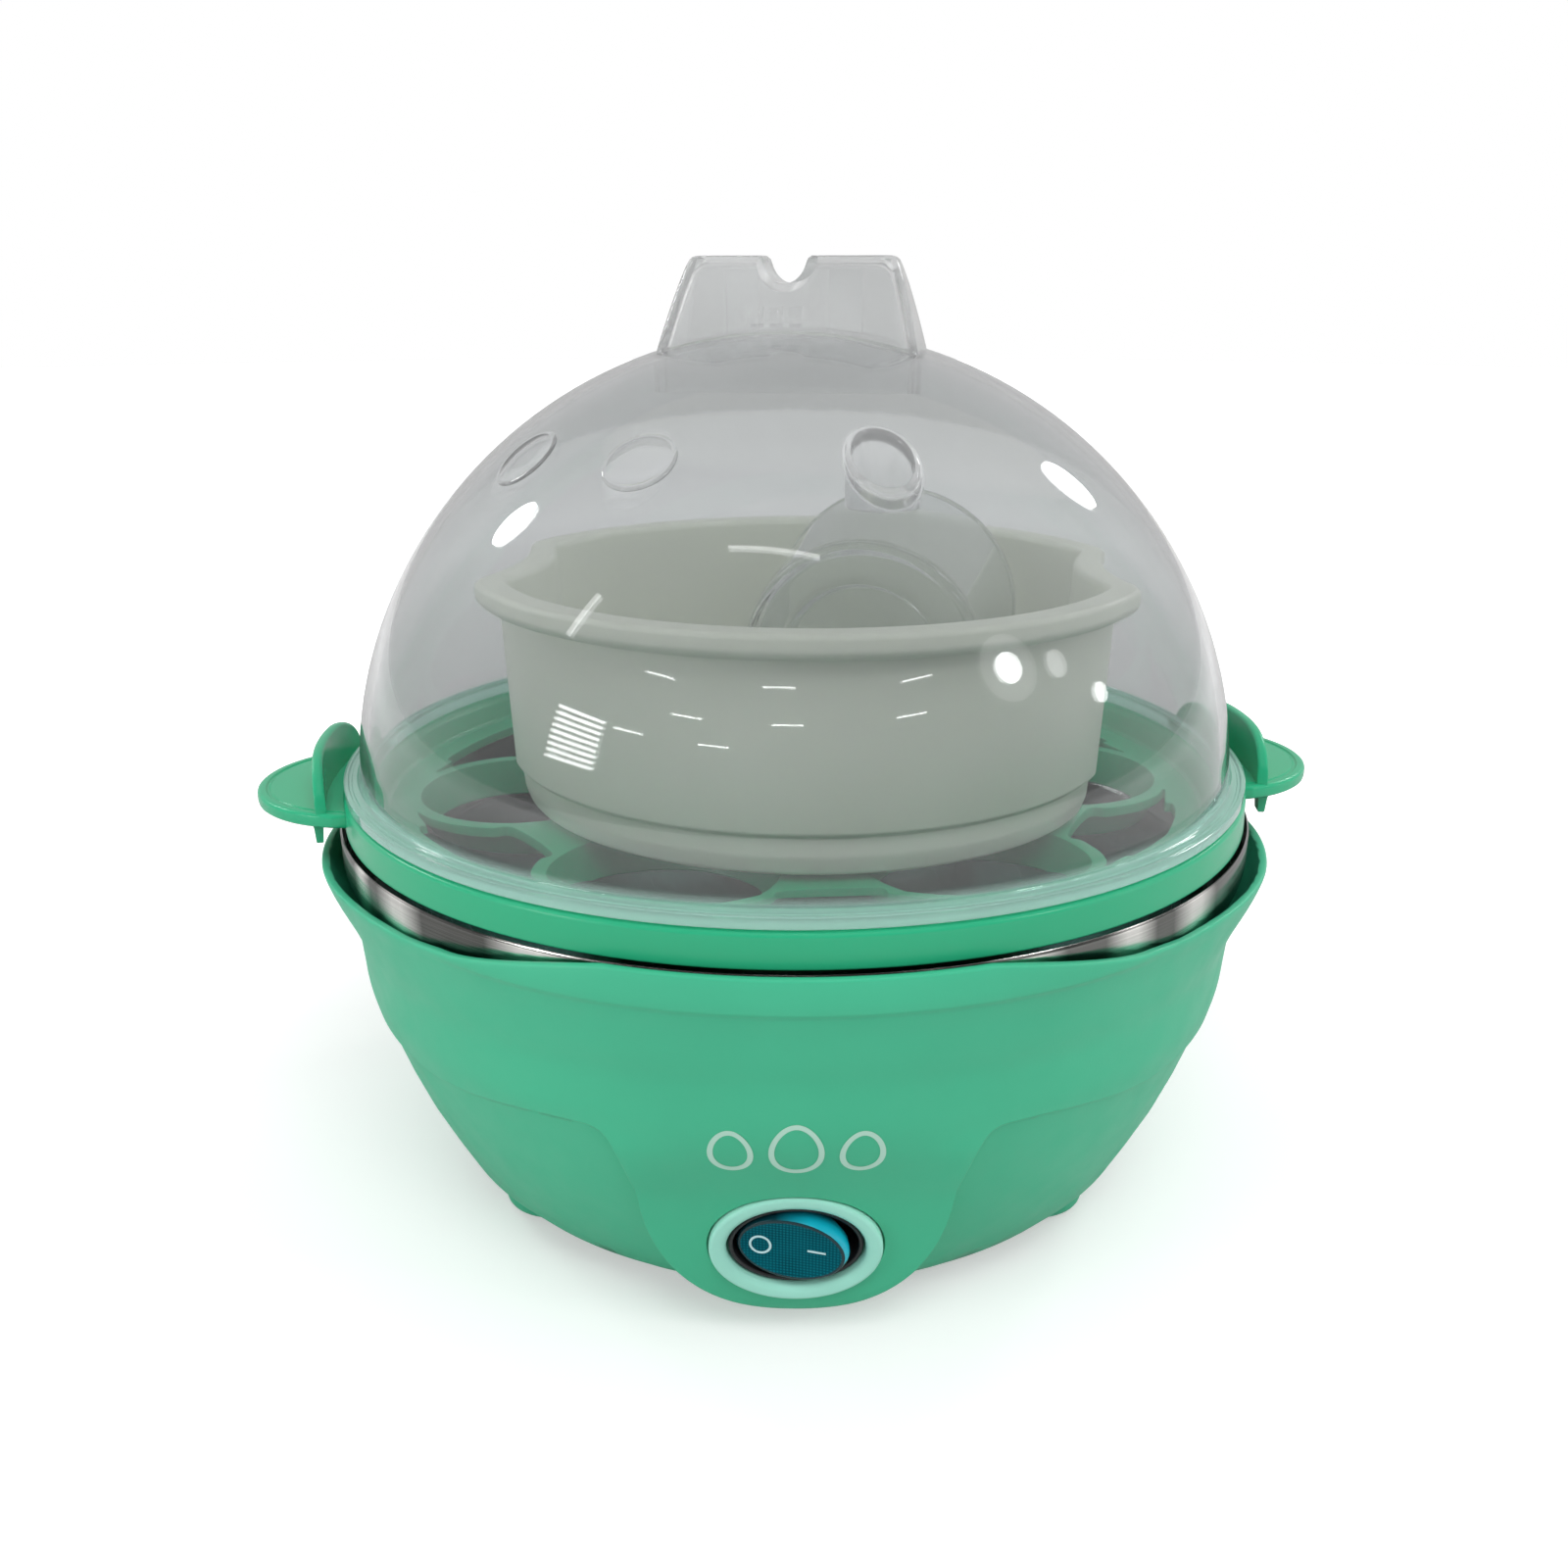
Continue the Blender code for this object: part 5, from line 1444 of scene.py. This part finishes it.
def make_cup():
    place, length = cup_place()
    base = CUP_BASE_R
    mouth = CUP_MOUTH_R
    profile = [(0.0, 2.8), (13.6, 2.8), (14.6, 0.0), (base - 1.0, 0.0), (base - 0.15, 0.8),
               (base + 0.2, 3.0), (mouth - 0.5, length - 2.2), (mouth - 0.1, length - 2.0),
               (mouth - 0.1, length), (mouth - 0.1 - CUP_WALL, length),
               (base - CUP_WALL + 0.1, 4.4), (base - CUP_WALL - 1.0, 3.5), (15.5, 3.4),
               (13.0, 4.2), (0.0, 4.2)]
    cup = spun("cup", refined(rounded(profile, 0.45, 3), 6.0), 112, place)
    ribs = bmesh.new()
    for i in range(7):
        along = 6.0 + 2.3 * i
        radius = base + 0.2 + (mouth - base - 0.7) * (along - 3.0) / (length - 5.2)
        path = []
        for k in range(15):
            x, y = polar(radius, 142.0 + 46.0 * k / 14.0)
            path.append(Vector((x, y, along)))
        tube(ribs, path, 0.42)
    combine(cup, (new_object("rib_tool", ribs, place), "UNION"),
            (spun("pin_hole", ((1.3, 1.0), (1.3, 6.0)), 32, place), "DIFFERENCE"))
    piece(cup, "cup", "clear", "measuring_cup", mat=CUP_CLEAR, sharp=CLEAR_SHARP)
    pin = [(0.0, 5.4), (2.4, 5.4), (2.4, 4.6), (0.9, 4.6), (0.9, 2.0), (0.45, 1.4), (0.0, 0.4)]
    piece(spun("pin", rounded(pin, 0.15, 2), 32, place), "cup", "zinc", "piercing_pin")


# ---- stage, light and camera -----------------------------------------------

CAMERA_AT = (-0.00184, -0.277, 0.1621)
CAMERA_PITCH = 0.32
CAMERA_LENS = 35.2
CENTRE = Vector((0.0, 0.0, 0.11))
# Round lamps: (azimuth, elevation, size, brightness); tubes: (azimuth, elevation).
LAMPS = ((60.6, 28.4, 0.12, 15.0), (60.6, 28.4, 0.26, 1.2), (74.8, 24.0, 0.10, 3.0),
         (84.0, 14.0, 0.07, 10.0))
TUBES = ((-4.5, 34.0), (34.0, 33.0), (-38.0, 33.0), (-2.0, 25.0), (30.0, 25.0), (-28.0, 25.0),
         (-42.0, 19.0), (-20.0, 19.0))
# Brightness of the room, and the radii in metres over which the floor starts to glow.
ROOM_FRONT = 0.14
ROOM_BACK = 0.61
FLOOR_GLOW = (0.12, 0.34)
FLOOR_FADE = (0.35, 0.95)


def make_camera():
    data = bpy.data.cameras.new("camera")
    data.lens = CAMERA_LENS
    data.sensor_width = 36.0
    data.clip_start = 0.01
    camera = bpy.data.objects.new("camera", data)
    camera.location = CAMERA_AT
    camera.rotation_euler = (math.pi / 2.0 - CAMERA_PITCH, 0.0, 0.0)
    bpy.context.scene.collection.objects.link(camera)
    bpy.context.scene.camera = camera


def panel(name, azimuth, elevation, distance, size, brightness, shape="RECTANGLE"):
    """A soft lamp seen from the object at the given azimuth from the front and elevation."""
    data = bpy.data.lights.new(name, "AREA")
    data.shape = shape
    data.size, data.size_y = size
    area = size[0] * size[1] * (math.pi / 4.0 if shape == "ELLIPSE" else 1.0)
    data.energy = brightness * math.pi * area
    lamp = bpy.data.objects.new(name, data)
    a = math.radians(azimuth)
    e = math.radians(elevation)
    towards = Vector((math.sin(a) * math.cos(e), -math.cos(a) * math.cos(e), math.sin(e)))
    lamp.location = CENTRE + towards * distance
    lamp.rotation_euler = towards.to_track_quat("Z", "Y").to_euler()
    bpy.context.scene.collection.objects.link(lamp)
    return lamp


def make_light():
    """A high key from the left front, soft fills, and the small lamps that show in the lid."""
    soft = [panel("key", 14.0, 50.0, 1.3, (0.7, 0.7), 4.7),
            panel("overhead", 10.0, 84.0, 1.3, (1.5, 1.5), 0.55),
            panel("side_left", -62.0, 8.0, 1.3, (0.6, 0.7), 3.0),
            panel("side_right", 82.0, 14.0, 1.3, (0.5, 0.7), 2.6)]
    for lamp in soft:
        lamp.visible_glossy = False
        lamp.visible_transmission = False
    panel("window_left", -117.4, 32.0, 1.0, (0.12, 0.17), 15.0, shape="ELLIPSE")
    panel("window_right", 130.9, 29.3, 1.0, (0.13, 0.18), 15.0, shape="ELLIPSE")
    for i, (azimuth, elevation, size, brightness) in enumerate(LAMPS):
        panel(f"lamp_{i + 1}", azimuth, elevation, 1.0, (size, size), brightness, shape="ELLIPSE")
    for i in range(9):
        panel(f"blind_{i + 1}", -55.5, 8.6 + 1.35 * i, 1.0, (0.23, 0.012), 12.0)
    panel("ceiling_strip", -12.0, 68.6, 1.2, (0.42, 0.02), 7.0)
    panel("left_strip", -70.0, 38.0, 1.1, (0.03, 0.20), 6.0)
    for i, (azimuth, elevation) in enumerate(TUBES):
        panel(f"tube_{i + 1}", azimuth, elevation, 1.0, (0.13, 0.006), 15.0)


def make_world():
    """A pale backdrop behind the object and a dim room in front; straight to the camera, white."""
    world = bpy.data.worlds.new("studio")
    world.use_nodes = True
    tree = world.node_tree
    back = tree.nodes["Background"]
    place = tree.nodes.new("ShaderNodeTexCoord").outputs["Generated"]
    parts = tree.nodes.new("ShaderNodeSeparateXYZ")
    tree.links.new(place, parts.inputs[0])
    ramp = tree.nodes.new("ShaderNodeMapRange")
    ramp.interpolation_type = "SMOOTHSTEP"
    ramp.inputs["From Min"].default_value = -0.6
    ramp.inputs["From Max"].default_value = 0.3
    ramp.inputs["To Min"].default_value = ROOM_FRONT
    ramp.inputs["To Max"].default_value = ROOM_BACK
    tree.links.new(parts.outputs[1], ramp.inputs["Value"])
    direct = tree.nodes.new("ShaderNodeLightPath").outputs["Is Camera Ray"]
    strength = tree.nodes.new("ShaderNodeMix")
    tree.links.new(direct, strength.inputs[0])
    tree.links.new(ramp.outputs[0], strength.inputs[2])
    strength.inputs[3].default_value = 1.0
    back.inputs["Color"].default_value = (1.0, 1.0, 1.0, 1.0)
    tree.links.new(strength.outputs[0], back.inputs["Strength"])
    bpy.context.scene.world = world


def make_floor():
    """A plain pale floor, which fades into the white backdrop further out."""
    bm = bmesh.new()
    skin(bm, [circle(r, 0.0, 96) for r in (3000.0, 1200.0, 500.0, 200.0, 0.0)])
    floor = new_object("floor", bm)
    f = Finish("pale_floor")
    f.colour(f.mix(f.spread(f.noise(3.0, 2.0), 0.0, 1.0), (0.66, 0.66, 0.66), (0.69, 0.69, 0.69)))
    f.rough(f.spread(f.noise(40.0, 3.0), 0.6, 0.75))
    x, y, _ = f.axes()
    radius = f.distance(x, y)
    direct = f.node("LightPath").outputs["Is Camera Ray"]
    glow = f.math("MAXIMUM", f.times(direct, f.spread(radius, 0.42, 1.0, *FLOOR_GLOW)),
                  f.spread(radius, 0.0, 0.50, *FLOOR_FADE))
    f.link(glow, f.shader.inputs["Emission Strength"])
    f.shader.inputs["Emission Color"].default_value = (1.0, 1.0, 1.0, 1.0)
    floor.data.materials.append(f.mat)


def main():
    scene = bpy.context.scene
    scene.view_settings.view_transform = "Standard"
    dress_frame()
    make_camera()
    make_world()
    make_light()
    make_floor()
    make_housing()
    make_print()
    make_base()
    make_gland()
    make_plate()
    make_switch()
    make_tray()
    make_dome()
    make_handle()
    make_bowl()
    make_cup()


main()
